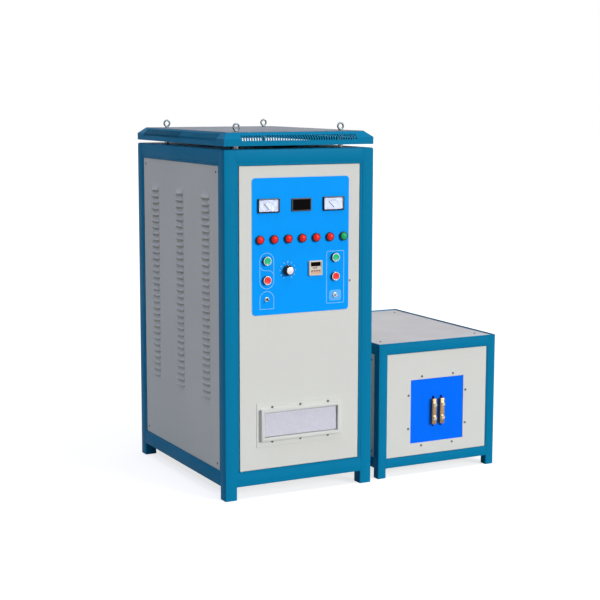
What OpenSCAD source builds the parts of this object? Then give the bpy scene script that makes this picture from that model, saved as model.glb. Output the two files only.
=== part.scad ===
// Induction heating machine: a tall power cabinet with a hinged control door and a raised, vented hood,
// and a low output station that stands beside it. Millimetres, +Z up, front towards -Y.
// The origin is under the middle of both cabinets, on the floor.

/* [Main cabinet] */
// Width of the main frame
main_w = 535; // [520:1:600]
// Depth of the main frame
main_d = 730; // [700:1:860]
// Height of the main frame, floor to top rails
main_h = 1120; // [1080:1:1260]
// Side of the main frame's square tube
tube = 40; // [38:1:44]
// Wall of both frames' square tube
tube_wall = 2.5; // [2:0.5:4]
// Clear height under the main cabinet's lower rails
leg_h = 43; // [30:1:80]
// Width of the strips welded inside the main frame's tubes
ledge = 8; // [7:0.5:10]
// How far panels lie behind the tubes' outer faces
recess = 3; // [2:0.5:5]
// Thickness of panels and doors
sheet = 1.5; // [1:0.25:2]

/* [Output station] */
// Width of the station's frame
station_w = 470; // [440:1:560]
// How much shallower the station's frame is than the main frame
station_short = 60; // [20:1:120]
// Height of the station, floor to rim
station_h = 463; // [430:1:560]
// Side of the station's square tube
station_tube = 30; // [26:1:34]
// Clear height under the station's lower rails
station_leg_h = 33; // [24:1:60]
// Gap between the two cabinets
cabinet_gap = 40; // [20:1:120]
// How far the station's front stands behind the main cabinet's front
station_setback = 16; // [0:1:40]

/* [Hood] */
// Gap between the main frame and the hood's skirt
hood_gap = 13; // [9:1:30]
// Height of the hood's upright skirt
skirt_h = 23; // [18:1:40]
// Height of the hood's sloped part
slope_h = 20; // [15:1:40]
// Run of the slope on the left and right
slope_x = 20; // [12:1:34]
// Run of the slope at the front and back
slope_y = 27; // [16:1:34]
// Pitch of the hood's air slots
slot_pitch = 9; // [8:0.5:14]
// Width of one air slot
slot_w = 4.5; // [3:0.5:6]
// Distance of the lifting eyes from the frame's outer faces
eye_inset = 79; // [62:1:100]

/* [Side louvres] */
// Louvres in one column
louvre_count = 31; // [8:1:34]
// Pitch of the louvres
louvre_pitch = 21.6; // [19:0.1:24]
// Length of one louvre
louvre_w = 65; // [40:1:110]
// Height of one louvre's pressed body
louvre_h = 15; // [10:0.5:17]
// How far a louvre stands out of its panel
louvre_proud = 7.5; // [3:0.5:9]

/* [Control door] */
// Width of the door left bare at each side of the control overlay
overlay_margin = 41.5; // [32:0.5:44]
// Height of the control overlay
overlay_h = 437; // [425:1:470]
// Thickness of the control overlay
overlay_t = 1; // [0.5:0.25:2]
// Width of a pointer meter's bezel
meter_w = 77; // [70:1:84]
// Height of a pointer meter's bezel
meter_h = 45; // [40:1:50]
// Diameter of the lamp and button bezels
bezel_d = 29; // [27:0.5:31]
// Diameter of the power knob
knob_d = 35; // [26:1:40]
// Height of the power knob
knob_h = 18; // [16:1:24]
// Side of the timer's square front
timer_w = 48; // [46:1:54]
// Travel of the push buttons
button_travel = 3; // [2:0.5:3.5]
// Width of the filter's flange
filter_w = 316; // [290:1:360]
// Height of the filter's flange
filter_h = 144; // [130:1:170]
// How far the filter's rim stands out of the door
rim_proud = 13; // [8:1:15]

/* [Output terminals] */
// Width of the window in the station's front
window_w = 214; // [190:1:222]
// Height of the window in the station's front
window_h = 221; // [200:1:240]
// Width of one output block
block_w = 18; // [16:1:30]
// Height of one output block
block_h = 90; // [80:1:110]
// Thickness of one output block in front of the board
block_t = 12; // [10:1:16]
// Distance between the two output blocks' middles
block_pitch = 32; // [30:1:60]

/* [Hidden] */
$fn = 48;

// Colours of the finishes
teal = [0.07, 0.47, 0.66];
panel_grey = [0.83, 0.82, 0.80];
overlay_blue = [0.04, 0.60, 0.95];
board_blue = [0.0, 0.43, 0.95];
zinc = [0.75, 0.76, 0.78];
black = [0.09, 0.09, 0.10];
steel_dark = [0.35, 0.36, 0.38];
copper = [0.72, 0.45, 0.25];
brass = [0.70, 0.56, 0.32];
cream = [0.87, 0.84, 0.76];
window_tint = [0.80, 0.85, 0.90];
mat_grey = [0.80, 0.79, 0.83];
red = [0.82, 0.12, 0.10];
green = [0.10, 0.65, 0.40];

// Overrun of cuts, gap round fixed pieces, gap between pieces that move, and gap of running fits
over = 1;
fit_gap = 0.2;
move_gap = 0.3;
run_gap = 0.05;

// Strips and tabs that carry the panels
ledge_recess = 1;
ledge_depth = 20;
station_ledge = 3;
station_rim = 5;
station_rim_t = 3;
tab_w = 40;
tab_t = 3;
panel_gap = 1;
louvre_low = 233;
louvre_top_gap = 2;

// Screws of the panels
screw_head_r = 4;
screw_head_h = 2.2;
screw_r = 2;
screw_hole_r = 2.2;
screw_inset_edge = 21;

// Places of both cabinets
station_d = main_d - station_short;
station_x = main_w + cabinet_gap;
station_y = station_setback;
total_w = station_x + station_w;
knob_lift = 0.5;
tail_reach = 30;
front_reach = knob_lift + knob_h - recess + overlay_t;
back_reach = tail_reach - recess;
mid_x = total_w / 2;
mid_y = (main_d + back_reach - front_reach) / 2;

// Levels of the main cabinet
main_floor = leg_h + tube;
main_roof = main_h - tube;
roof_t = 2;
pan_t = 2;
skirt_z = main_h + hood_gap;
slope_z = skirt_z + skirt_h;
hood_sheet = 2;
plate_t = 1.5;
hood_z = slope_z + slope_h;
hood_flange = 22;

// Levels of the station
station_top = station_h - station_rim;
station_floor = station_leg_h + station_tube;
station_roof = station_top - station_tube;

// The door's outline, its hinge and the planes of its faces
open_l = tube + ledge;
open_r = main_w - tube - ledge;
open_b = main_floor + ledge;
open_t = main_roof - ledge;
hinge_gap = 4.5;
door_gap = 1.5;
door_l = open_l + hinge_gap;
door_r = open_r - door_gap;
door_b = open_b + door_gap;
door_t = open_t - door_gap;
door_mid = (door_l + door_r) / 2;
door_flange = 15;
hinge_pin_r = 3;
hinge_eye_r = 5.8;
hinge_eye_h = 9;
hinge_in_x = 7;
hinge_in_y = 6;
hinge_x = door_l + hinge_in_x;
hinge_y = recess + hinge_in_y;
hinge_collar_r = 5.5;

// The overlay's middle, measured on the door
overlay_w = door_r - door_l - 2 * overlay_margin;
overlay_shift = 2;
overlay_x = door_mid + overlay_shift;
overlay_top_gap = 38;
overlay_z = door_t - overlay_top_gap - overlay_h / 2;
overlay_r = 12;
overlay_y = recess - overlay_t;

// Places of the instruments and controls, from the overlay's middle
meter_x = 0.334 * overlay_w;
lamp_pitch = 0.144 * overlay_w;
meter_z = 130.5;
lamp_shift = 3;
lamp_z = 23;
lamp_count = 7;
button_x = 0.3543 * overlay_w;
button_z = [-44.5, -106.5];
toggle_z = -167.5;
knob_x = -0.137 * overlay_w;
knob_z = -78.5;
timer_x = 0.145 * overlay_w;
timer_z = -76;

// Pointer meters and the digital display
meter_proud = 6;
meter_wall = 3.5;
meter_body_w = 62;
meter_body_h = 34;
meter_body_depth = 38;
meter_dial_t = 1;
meter_dial_z = 0.5;
window_t = 1.2;
window_inset = 0.6;
pivot_drop = 11;
pivot_r = 1.5;
pivot_depth = 5;
needle_l = 24;
needle_thin = 0.6;
needle_wide = 1.4;
needle_z = 2.6;
needle_rest = 45;
display_w = 71;
display_h = 42;
display_proud = 4;
display_wall = 4;
display_pocket = 2.5;
display_body_w = 58;
display_body_h = 34;
display_body_depth = 45;

// Lamps and push buttons in 22 mm holes
barrel_r = 11;
barrel_hole_r = 11.2;
barrel_depth = 32;
lamp_rim_h = 7;
lamp_rim_wall = 2.5;
lens_h = 8;
lens_foot = 4.5;
ring_h = 9;
ring_wall = 3;
ring_floor = 0.8;
cap_proud = 1;
cap_t = 5.5;
stem_r = 4;
stem_l = 11;
stem_room = 3;
nut_r = 14;
nut_h = 5;

// Knob, toggles, timer and lock
knob_top_share = 0.43;
knob_cap_share = 0.34;
knob_cap_h = 1;
knob_skirt_h = 4;
shaft_r = 3;
shaft_l = 20;
pot_r = 12;
pot_l = 22;
toggle_nut_r = 8;
toggle_nut_h = 3;
toggle_bush_r = 5;
toggle_bush_h = 5;
toggle_body_w = 14;
toggle_body_h = 26;
toggle_body_l = 20;
toggle_ball_r = 4;
toggle_root_r = 1.6;
toggle_tip_r = 2.8;
toggle_l = 12.5;
toggle_mouth_r = 4.6;
toggle_rest = 12.5;
toggle_pivot_z = 1;
timer_proud = 7;
timer_body_w = 44;
timer_body_l = 60;
timer_face_drop = 1.5;
timer_rim = 4;
key_count = 4;
key_w = 6;
key_h = 4.5;
key_pitch = 9;
key_z = -9;
key_l = 4;
key_travel = 1.2;
key_proud = 0.8;
lock_in = 34.5;
lock_drop = 124.5;
lock_r = 4;
lock_slot_w = 1.4;
lock_slot_depth = 1;
cam_y = 22;
cam_t = 3;
cam_w = 12;
cam_l = 41.5;

// Filter in the door
filter_mid = 145;
filter_sheet = 1.5;
rim_w = 290;
rim_h = 105;
rim_wall = 11;
mat_t = 8;
mat_gap = 0.5;
mat_back = 6;
filter_screw_x = 102;
filter_screw_z = 57;

// Lifting eyes on the hood
eye_ring_r = 10;
eye_wire_r = 3;
eye_bore_r = 7.2;
eye_lift = 14.5;
eye_foot_r = 6.5;
eye_foot_h = 4;
eye_shank_r = 4;
eye_hole_r = 4.3;
eye_nut_r = 6.5;
eye_nut_h = 6;
spacer_r = 8;

// Roof fan
fan_y = 240;
fan_r = 112;
fan_wall = 4;
fan_h = 60;
fan_flange = 8;
fan_flange_t = 3;
fan_motor_r = 36;
fan_motor_h = 16;
fan_strut_w = 8;
fan_struts = 4;
fan_shaft_r = 4;
fan_hub_r = 38;
fan_hub_h = 30;
fan_blades = 7;
fan_blade_t = 2.5;
fan_blade_w = 34;
fan_blade_tilt = 38;
fan_tip_gap = 5;
fan_hub_gap = 3;

// Equipment on the mounting plate
gear_y = 430;
gear_t = 3;
gear_foot_w = 60;
gear_foot_l = 50;
gear_top_gap = 100;
breaker_w = 0.19 * main_w;
breaker_h = 165;
breaker_d = 86;
breaker_x = 0.225 * main_w;
breaker_z = 900;
lever_w = 12;
lever_l = 36;
lever_thick = 6;
lever_hub_r = 7;
lever_pin_r = 2.5;
lever_pin_l = 22;
lever_rest = 25;
lever_slot_h = 44;
lever_slot_depth = 22;
cold_w = 0.17 * main_w;
cold_h = 220;
cold_t = 24;
cold_x = [0.54 * main_w, 0.757 * main_w];
cold_z = 860;
module_w = 0.116 * main_w;
module_h = 96;
module_t = 30;
module_pitch = 104;
cap_r = 0.06 * main_w;
cap_h = 105;
cap_shares = [0.20, 0.353, 0.506, 0.66];
cap_x = [for (share = cap_shares) share * main_w];
cap_z = 640;
choke_w = 170;
choke_h = 150;
choke_d = 90;
choke_limb = 34;
coil_wall = 20;
choke_y = 210;
board_w = 260;
board_h = 170;
board_t = 1.6;
board_z = 450;
board_standoff = 12;
board_standoff_r = 4;
chip_t = 14;

// Water and mains connections at the back
bar_share = 0.37;
bar_side = 34;
bar_z = 170;
tail_r = 6.5;
tail_bore_r = 4.5;
tail_bore_l = 26;
tail_collar_r = 11;
tail_collar_h = 6;
tail_pitch = 120;
gland_r = 19;
gland_bore_r = 11;
gland_body_l = 24;
gland_nut_l = 7;
gland_thread_r = 15;

// Output station
board_side_x = 256;
board_side_z = 266;
board_thick = 10;
window_z = 219;
board_screw_x = [63, 116];
board_screw_z = [58, 121];
slot_side = 9;
slot_l = 106;
tongue_w = 7;
tongue_h = 78;
tongue_in = 30;
block_r = 3;
block_drop = 5;
bolt_r = 7.5;
bolt_head_h = 6;
bolt_shank_r = 4;
bolt_pitch = 46;
core_w = 220;
core_h = 190;
core_d = 110;
core_limb = 42;
core_y = 66;
core_z = 119;
winding_wall = 16;
cap_box_d = 150;
cap_box_h = 120;
cap_box_y = 350;
cap_box_count = 4;
cap_box_share = 0.9;
cap_box_edge = 5;
cap_stud_r = 8;
cap_stud_h = 18;
top_screw_x = 42;
top_screw_y = 64;

// Everything is drawn from the main cabinet's or the station's front left corner on the floor
module main_place() { translate([-mid_x, -mid_y, 0]) children(); }
module station_place() { translate([station_x - mid_x, station_y - mid_y, 0]) children(); }

// A block of a given size with its low corner at a place
module block(size, at) { translate(at) cube(size); }

// A block centred on x and y, standing on a level
module pad(w, d, h) { translate([-w / 2, -d / 2, 0]) cube([w, d, h]); }

// A rectangle with round corners, centred
module soft_rect(w, h, r) {
    hull() for (x = [-1, 1], y = [-1, 1]) translate([x * (w / 2 - r), y * (h / 2 - r)]) circle(r);
}

// Upright tubes of a frame, closed at the top and open at the floor
module posts(w, d, h, side) {
    for (x = [0, w - side], y = [0, d - side]) translate([x, y, 0]) difference() {
        cube([side, side, h]);
        translate([tube_wall, tube_wall, -over])
            cube([side - 2 * tube_wall, side - 2 * tube_wall, h - tube_wall + over]);
    }
}

// A level tube along x, open at both ends
module level_tube(length, side) {
    difference() {
        cube([length, side, side]);
        translate([-over, tube_wall, tube_wall])
            cube([length + 2 * over, side - 2 * tube_wall, side - 2 * tube_wall]);
    }
}

// Four level tubes between four posts
module rail_ring(w, d, side) {
    for (y = [0, d - side]) translate([side, y, 0]) level_tube(w - 2 * side, side);
    for (x = [side, w]) translate([x, side, 0]) rotate([0, 0, 90]) level_tube(d - 2 * side, side);
}

// Strips round one opening, in the xz plane, with holes for hinge pins if asked
module ledge_frame(w, h, band, pins) {
    for (x = [0, w - band]) block([band, ledge_depth, h], [x, 0, 0]);
    for (z = [0, h - band]) difference() {
        block([w - 2 * band, ledge_depth, band], [band, 0, z]);
        if (pins)
            translate([hinge_x - tube, hinge_y - ledge_recess, z - over])
                cylinder(r = hinge_pin_r + run_gap, h = band + 2 * over);
    }
}

// Corner tabs behind one panel, in the xz plane; screw places are measured from the panel's corners
module corner_tabs(w, h, band, holes) {
    for (x = [band, w - band - tab_w], z = [band, h - band - tab_w])
        difference() {
            block([tab_w, tab_t, tab_w], [x, 0, z]);
            if (holes)
                for (p = corner_places(w, h, band)) translate([p[0], tab_t + over, p[1]])
                    rotate([90, 0, 0]) cylinder(r = screw_hole_r, h = tab_t + 2 * over);
        }
}

// Screw places near the corners of the panel in an opening of w by h
function corner_places(w, h, band) =
    [for (x = [band + screw_inset_edge, w - band - screw_inset_edge],
          z = [band + screw_inset_edge, h - band - screw_inset_edge]) [x, z]];

// A pan head screw: head in front of the xz plane at y = 0, shank behind it
module panel_screw(grip) {
    rotate([-90, 0, 0]) translate([0, 0, -screw_head_h]) cylinder(r = screw_head_r, h = screw_head_h);
    rotate([-90, 0, 0]) translate([0, 0, -over]) cylinder(r = screw_r, h = grip + over);
}

// Turns the xz plane onto each side of a cabinet of w by d
module on_front() { children(); }
module on_left(d) { translate([0, d, 0]) rotate([0, 0, -90]) children(); }
module on_right(w) { translate([w, 0, 0]) rotate([0, 0, 90]) children(); }
module on_back(w, d) { translate([w, d, 0]) rotate([0, 0, 180]) children(); }

// Clear widths and heights of the openings between tubes
main_open_w = main_w - 2 * tube;
main_open_d = main_d - 2 * tube;
main_open_h = main_roof - main_floor;
station_open_w = station_w - 2 * station_tube;
station_open_d = station_d - 2 * station_tube;
station_open_h = station_roof - station_floor;

module main_posts() { color(teal) main_place() posts(main_w, main_d, main_h, tube); }

module main_rails() {
    color(teal) main_place() for (z = [leg_h, main_roof])
        translate([0, 0, z]) rail_ring(main_w, main_d, tube);
}

module station_posts() {
    color(teal) station_place() posts(station_w, station_d, station_top, station_tube);
}

module station_rails() {
    color(teal) station_place() for (z = [station_leg_h, station_roof])
        translate([0, 0, z]) rail_ring(station_w, station_d, station_tube);
}

// The ledges of one opening and, behind its panel, the tabs
module opening_ledges(side, floor_z, w, h, band, pins, tabs, holes) {
    translate([side, ledge_recess, floor_z]) ledge_frame(w, h, band, pins);
    if (tabs) translate([side, recess + sheet, floor_z]) corner_tabs(w, h, band, holes);
}

module frame_ledges() {
    color(teal) main_place() {
        on_front() opening_ledges(tube, main_floor, main_open_w, main_open_h, ledge, true, false, false);
        on_left(main_d)
            opening_ledges(tube, main_floor, main_open_d, main_open_h, ledge, false, true, true);
        on_right(main_w)
            opening_ledges(tube, main_floor, main_open_d, main_open_h, ledge, false, true, true);
        on_back(main_w, main_d)
            opening_ledges(tube, main_floor, main_open_w, main_open_h, ledge, false, true, true);
    }
    color(teal) station_place() {
        on_front() opening_ledges(station_tube, station_floor, station_open_w, station_open_h,
            station_ledge, false, true, false);
        on_left(station_d) opening_ledges(station_tube, station_floor, station_open_d, station_open_h,
            station_ledge, false, true, true);
        on_right(station_w) opening_ledges(station_tube, station_floor, station_open_d, station_open_h,
            station_ledge, false, true, true);
        on_back(station_w, station_d) opening_ledges(station_tube, station_floor, station_open_w,
            station_open_h, station_ledge, false, true, true);
        for (y = [0, station_d - station_rim_t])
            block([station_w, station_rim_t, station_rim], [0, y, station_top]);
        for (x = [0, station_w - station_rim_t])
            block([station_rim_t, station_d - 2 * station_rim_t, station_rim],
                [x, station_rim_t, station_top]);
        for (x = [station_tube, station_w - station_tube - tab_w],
             y = [station_tube, station_d - station_tube - tab_w])
            difference() {
                block([tab_w, tab_w, tab_t], [x, y, station_top - tab_t]);
                for (p = top_screws) translate([p[0], p[1], station_top - tab_t - over])
                    cylinder(r = screw_hole_r, h = tab_t + 2 * over);
            }
    }
}

// A floor sheet that lies on the lower rails and leaves room for the posts and the ledges
module floor_pan(w, d, side) {
    rim = ledge_recess + ledge_depth + panel_gap;
    difference() {
        block([w - 2 * rim, d - 2 * rim, pan_t], [rim, rim, 0]);
        for (x = [0, w - side - panel_gap], y = [0, d - side - panel_gap])
            block([side + panel_gap, side + panel_gap, pan_t + 2 * over], [x, y, -over]);
    }
}

// Places of the four lifting eyes and of the roof fan
eye_places = [for (x = [eye_inset, main_w - eye_inset], y = [eye_inset, main_d - eye_inset]) [x, y]];
fan_x = main_w / 2;
fan_out_r = fan_r + fan_wall;

module closing_sheets() {
    color(teal) main_place() {
        translate([0, 0, main_floor]) floor_pan(main_w, main_d, tube);
        difference() {
            block([main_w - 2 * recess, main_d - 2 * recess, roof_t], [recess, recess, main_h]);
            translate([fan_x, fan_y, main_h - over]) cylinder(r = fan_r, h = roof_t + 2 * over);
            for (p = eye_places) translate([p[0], p[1], main_h - over])
                cylinder(r = eye_hole_r, h = roof_t + 2 * over);
        }
    }
    color(teal) station_place()
        translate([0, 0, station_floor]) floor_pan(station_w, station_d, station_tube);
}

// The louvres' section across one column, with u outwards and v upwards; each is a slanting skin
// that hangs over its opening, with the flat land above it up to the next one
module louvre_skins(count) {
    for (k = [0 : count - 1]) translate([0, k * louvre_pitch]) polygon([
        [0, louvre_pitch], [0, louvre_h], [louvre_proud, 0], [louvre_proud - sheet, 0],
        [-sheet, louvre_h - sheet], [-sheet, louvre_pitch]
    ]);
}

// The closed ends of a column
module louvre_ends(count) {
    for (k = [0 : count - 1]) translate([0, k * louvre_pitch]) polygon([
        [0, louvre_pitch], [0, louvre_h], [louvre_proud, 0], [-sheet, 0], [-sheet, louvre_pitch]
    ]);
}

// One column of louvres, outwards along -y and centred on x, standing on z = 0
module louvre_column(count) {
    rotate([90, 0, -90]) {
        translate([0, 0, -louvre_w / 2]) linear_extrude(louvre_w) louvre_skins(count);
        for (z = [-louvre_w / 2, louvre_w / 2 - sheet])
            translate([0, 0, z]) linear_extrude(sheet) louvre_ends(count);
    }
}

// A panel in an opening of w by h, its outer face at y = 0, with columns of louvres at the places xs
// that start at the level low
module louvred_panel(w, h, band, xs, count, low) {
    col_h = count * louvre_pitch;
    edge = band + panel_gap;
    z0 = min(low, h - col_h - edge - louvre_top_gap);
    difference() {
        block([w - 2 * edge, sheet, h - 2 * edge], [edge, 0, edge]);
        for (x = xs)
            block([louvre_w, sheet + 2 * over, col_h], [x - louvre_w / 2, -over, z0]);
        for (p = corner_places(w, h, band)) translate([p[0], sheet + over, p[1]])
            rotate([90, 0, 0]) cylinder(r = screw_hole_r, h = sheet + 2 * over);
    }
    for (x = xs) translate([x, 0, z0]) louvre_column(count);
}

// Columns of louvres across the main cabinet's depth, and how many louvres fit a side of the station
column_pitch = 212;
main_columns = [for (k = [-1, 0, 1]) main_open_d / 2 + k * column_pitch];
station_pitch = column_pitch * station_open_d / main_open_d;
station_columns = [for (k = [-1, 0, 1]) station_open_d / 2 + k * station_pitch];
station_louvres = floor((station_open_h - 3 * tab_w) / louvre_pitch);

module side_sheet() {
    louvred_panel(main_open_d, main_open_h, ledge, main_columns, louvre_count, louvre_low);
}

module left_panel() {
    color(panel_grey) main_place() on_left(main_d) translate([tube, recess, main_floor]) side_sheet();
}

module right_panel() {
    color(panel_grey) main_place() on_right(main_w) translate([tube, recess, main_floor]) side_sheet();
}

module station_sheet() {
    louvred_panel(station_open_d, station_open_h, station_ledge, station_columns, station_louvres,
        (station_open_h - station_louvres * louvre_pitch) / 2);
}

module station_side_panels() {
    color(panel_grey) station_place() {
        on_left(station_d) translate([station_tube, recess, station_floor]) station_sheet();
        on_right(station_w) translate([station_tube, recess, station_floor]) station_sheet();
    }
}

// Place of a cable gland, midway between a cabinet's side and its water bar, seen from behind
function gland_x(w) = w * (1 - bar_share) / 4;

// Holes for the hose tails and the cable gland in the back panel of a cabinet of width w
module back_holes(w) {
    for (k = [-1, 1]) translate([w / 2 + k * tail_pitch / 2, sheet + over, bar_z])
        rotate([90, 0, 0]) cylinder(r = tail_r + move_gap, h = sheet + 2 * over);
    translate([gland_x(w), sheet + over, bar_z])
        rotate([90, 0, 0]) cylinder(r = gland_thread_r + move_gap, h = sheet + 2 * over);
}

// A plain back panel in an opening of w by h
module back_sheet(side, floor_z, w, h, band) {
    edge = band + panel_gap;
    difference() {
        block([w - 2 * edge, sheet, h - 2 * edge], [side + edge, 0, floor_z + edge]);
        for (p = corner_places(w, h, band)) translate([side + p[0], sheet + over, floor_z + p[1]])
            rotate([90, 0, 0]) cylinder(r = screw_hole_r, h = sheet + 2 * over);
        back_holes(w + 2 * side);
    }
}

module rear_panels() {
    color(panel_grey) main_place() on_back(main_w, main_d) translate([0, recess, 0])
        back_sheet(tube, main_floor, main_open_w, main_open_h, ledge);
    color(panel_grey) station_place() on_back(station_w, station_d) translate([0, recess, 0])
        back_sheet(station_tube, station_floor, station_open_w, station_open_h, station_ledge);
}

// Four screws at the corners of one panel
module corner_screws(side, floor_z, w, h, band) {
    for (p = corner_places(w, h, band)) translate([side + p[0], recess, floor_z + p[1]])
        panel_screw(sheet + tab_t);
}

// Screws round the window, into the insulating board
board_screws = concat(
    [for (x = [-1, 1], z = [-1, 1]) [x * board_screw_x[0], z * board_screw_z[1]]],
    [for (x = [-1, 1], z = [-1, 1]) [x * board_screw_x[1], z * board_screw_z[0]]]);
top_screws = [for (x = [top_screw_x, station_w - top_screw_x], y = [top_screw_y, station_d - top_screw_y])
    [x, y]];

module panel_screws() {
    color(zinc) main_place() {
        on_left(main_d) corner_screws(tube, main_floor, main_open_d, main_open_h, ledge);
        on_right(main_w) corner_screws(tube, main_floor, main_open_d, main_open_h, ledge);
        on_back(main_w, main_d) corner_screws(tube, main_floor, main_open_w, main_open_h, ledge);
    }
    color(zinc) station_place() {
        on_left(station_d)
            corner_screws(station_tube, station_floor, station_open_d, station_open_h, station_ledge);
        on_right(station_w)
            corner_screws(station_tube, station_floor, station_open_d, station_open_h, station_ledge);
        on_back(station_w, station_d)
            corner_screws(station_tube, station_floor, station_open_w, station_open_h, station_ledge);
        for (p = board_screws) translate([station_w / 2 + p[0], recess, window_z + p[1]])
            panel_screw(sheet + board_thick / 2);
        for (p = top_screws) translate([p[0], p[1], station_top + plate_t]) rotate([-90, 0, 0])
            panel_screw(plate_t + tab_t);
    }
}

// Outline of the hood across x or y: upright skirt, then slope; inset moves its faces inwards
function hood_outline(w, run, inset, low) =
    let (reach = norm([run, slope_h]),
         bend = slope_z - inset * (reach - slope_h) / run,
         ledge_in = (run * (slope_h - inset) + inset * reach) / slope_h,
         top = hood_z - plate_t - inset)
    [[inset, low], [w - inset, low], [w - inset, bend], [w - ledge_in, top], [ledge_in, top], [inset, bend]];

// A hipped solid on the hood's outline
module hood_block(inset, low) {
    intersection() {
        translate([0, main_d, 0]) rotate([90, 0, 0]) linear_extrude(main_d)
            polygon(hood_outline(main_w, slope_x, inset, low));
        rotate([90, 0, 90]) linear_extrude(main_w)
            polygon(hood_outline(main_d, slope_y, inset, low));
    }
}

// Air slots along one side of length w, cut over the bend of the skirt and the slope
slot_below = 7;
slot_in = 16;
slot_margin = 62;
module hood_slots(w) {
    count = floor((w - 2 * slot_margin) / slot_pitch) + 1;
    first = (w - (count - 1) * slot_pitch - slot_w) / 2;
    for (k = [0 : count - 1])
        block([slot_w, slot_in + over, slot_below + slope_h],
            [first + k * slot_pitch, -over, slope_z - slot_below]);
}

module hood_shell() {
    color(teal) main_place() difference() {
        hood_block(0, skirt_z);
        hood_block(hood_sheet, skirt_z - over);
        block([main_w - 2 * (slope_x + hood_flange), main_d - 2 * (slope_y + hood_flange), slope_h],
            [slope_x + hood_flange, slope_y + hood_flange, slope_z]);
        on_front() hood_slots(main_w);
        on_back(main_w, main_d) hood_slots(main_w);
        on_left(main_d) hood_slots(main_d);
        on_right(main_w) hood_slots(main_d);
    }
}

module hood_top_plate() {
    edge_x = slope_x + panel_gap;
    edge_y = slope_y + panel_gap;
    color(panel_grey) main_place() difference() {
        block([main_w - 2 * edge_x, main_d - 2 * edge_y, plate_t], [edge_x, edge_y, hood_z - plate_t]);
        for (p = eye_places) translate([p[0], p[1], hood_z - plate_t - over])
            cylinder(r = eye_hole_r, h = plate_t + 2 * over);
    }
}

module hood_spacers() {
    low = main_h + roof_t;
    color(zinc) main_place() for (p = eye_places) translate([p[0], p[1], low]) difference() {
        cylinder(r = spacer_r, h = hood_z - plate_t - low);
        translate([0, 0, -over]) cylinder(r = eye_hole_r, h = hood_z - low + 2 * over);
    }
}

// One lifting eye: ring with a straight bore, foot on the hood, shank down to its nut under the roof sheet
module lifting_eye() {
    translate([0, 0, eye_lift]) rotate([90, 0, 0]) difference() {
        rotate_extrude() translate([eye_ring_r, 0]) circle(eye_wire_r);
        translate([0, 0, -eye_wire_r - over]) cylinder(r = eye_bore_r, h = 2 * (eye_wire_r + over));
    }
    cylinder(r = eye_foot_r, h = eye_foot_h);
    translate([0, 0, main_h - eye_nut_h - hood_z]) {
        cylinder(r = eye_shank_r, h = hood_z - main_h + eye_nut_h + over);
        cylinder(r = eye_nut_r, h = eye_nut_h, $fn = 6);
    }
}

module lifting_eyes() {
    color(zinc) main_place() for (p = eye_places) translate([p[0], p[1], hood_z]) lifting_eye();
}

// Roof fan: ring under the roof sheet, struts and motor below, rotor on the motor's shaft
module fan_frame() {
    low = main_h - fan_h;
    color(black) main_place() translate([fan_x, fan_y, 0]) {
        difference() {
            union() {
                translate([0, 0, low]) cylinder(r = fan_out_r, h = fan_h);
                translate([0, 0, main_h - fan_flange_t])
                    cylinder(r = fan_out_r + fan_flange, h = fan_flange_t);
            }
            translate([0, 0, low - over]) cylinder(r = fan_r, h = fan_h + 2 * over);
        }
        difference() {
            union() {
                for (k = [0 : fan_struts - 1]) rotate([0, 0, (k + 0.5) * 360 / fan_struts])
                    block([fan_r + fan_wall / 2, fan_strut_w, fan_strut_w / 2], [0, -fan_strut_w / 2, low]);
                translate([0, 0, low]) cylinder(r = fan_motor_r, h = fan_motor_h);
            }
            translate([0, 0, low - over])
                cylinder(r = fan_shaft_r + run_gap, h = fan_motor_h + 2 * over);
        }
    }
}

module fan_rotor() {
    hub_z = main_h - fan_h + fan_motor_h + fan_hub_gap;
    blade_l = fan_r - fan_tip_gap - fan_hub_r / 2;
    color(steel_dark) main_place() translate([fan_x, fan_y, 0]) {
        translate([0, 0, hub_z]) cylinder(r = fan_hub_r, h = fan_hub_h);
        translate([0, 0, main_h - fan_h]) cylinder(r = fan_shaft_r, h = fan_motor_h + fan_hub_gap + over);
        for (k = [0 : fan_blades - 1]) rotate([0, 0, k * 360 / fan_blades])
            translate([fan_hub_r / 2, 0, hub_z + fan_hub_h / 2]) rotate([fan_blade_tilt, 0, 0])
                block([blade_l, fan_blade_w, fan_blade_t], [0, -fan_blade_w / 2, -fan_blade_t / 2]);
    }
}

// Hinge pins stand in the front ledges and reach into the door's eyes
module hinge_pins() {
    color(zinc) main_place() translate([hinge_x, hinge_y, 0]) {
        translate([0, 0, door_t - hinge_eye_h])
            cylinder(r = hinge_pin_r, h = main_roof - door_t + hinge_eye_h);
        translate([0, 0, main_floor]) cylinder(r = hinge_pin_r, h = door_b + hinge_eye_h - main_floor);
        translate([0, 0, open_b]) cylinder(r = hinge_collar_r, h = door_gap - move_gap);
    }
}

module mounting_plate() {
    low = main_floor + pan_t;
    color(zinc) main_place() {
        block([main_w - 2 * tube, gear_t, main_h - gear_top_gap - low], [tube, gear_y, low]);
        for (x = [tube, main_w - tube - gear_foot_w])
            block([gear_foot_w, gear_foot_l, gear_t], [x, gear_y + gear_t, low]);
    }
}

// The breaker's lever turns about this line
lever_y = gear_y - breaker_d + lever_hub_r + over;

module breaker_case() {
    color(black) main_place() difference() {
        block([breaker_w, breaker_d, breaker_h],
            [breaker_x - breaker_w / 2, gear_y - breaker_d, breaker_z - breaker_h / 2]);
        block([lever_w + 2 * move_gap, lever_slot_depth + over, lever_slot_h],
            [breaker_x - lever_w / 2 - move_gap, gear_y - breaker_d - over, breaker_z - lever_slot_h / 2]);
        translate([breaker_x - lever_pin_l / 2, lever_y, breaker_z]) rotate([0, 90, 0])
            cylinder(r = lever_pin_r + run_gap, h = lever_pin_l);
    }
}

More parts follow.
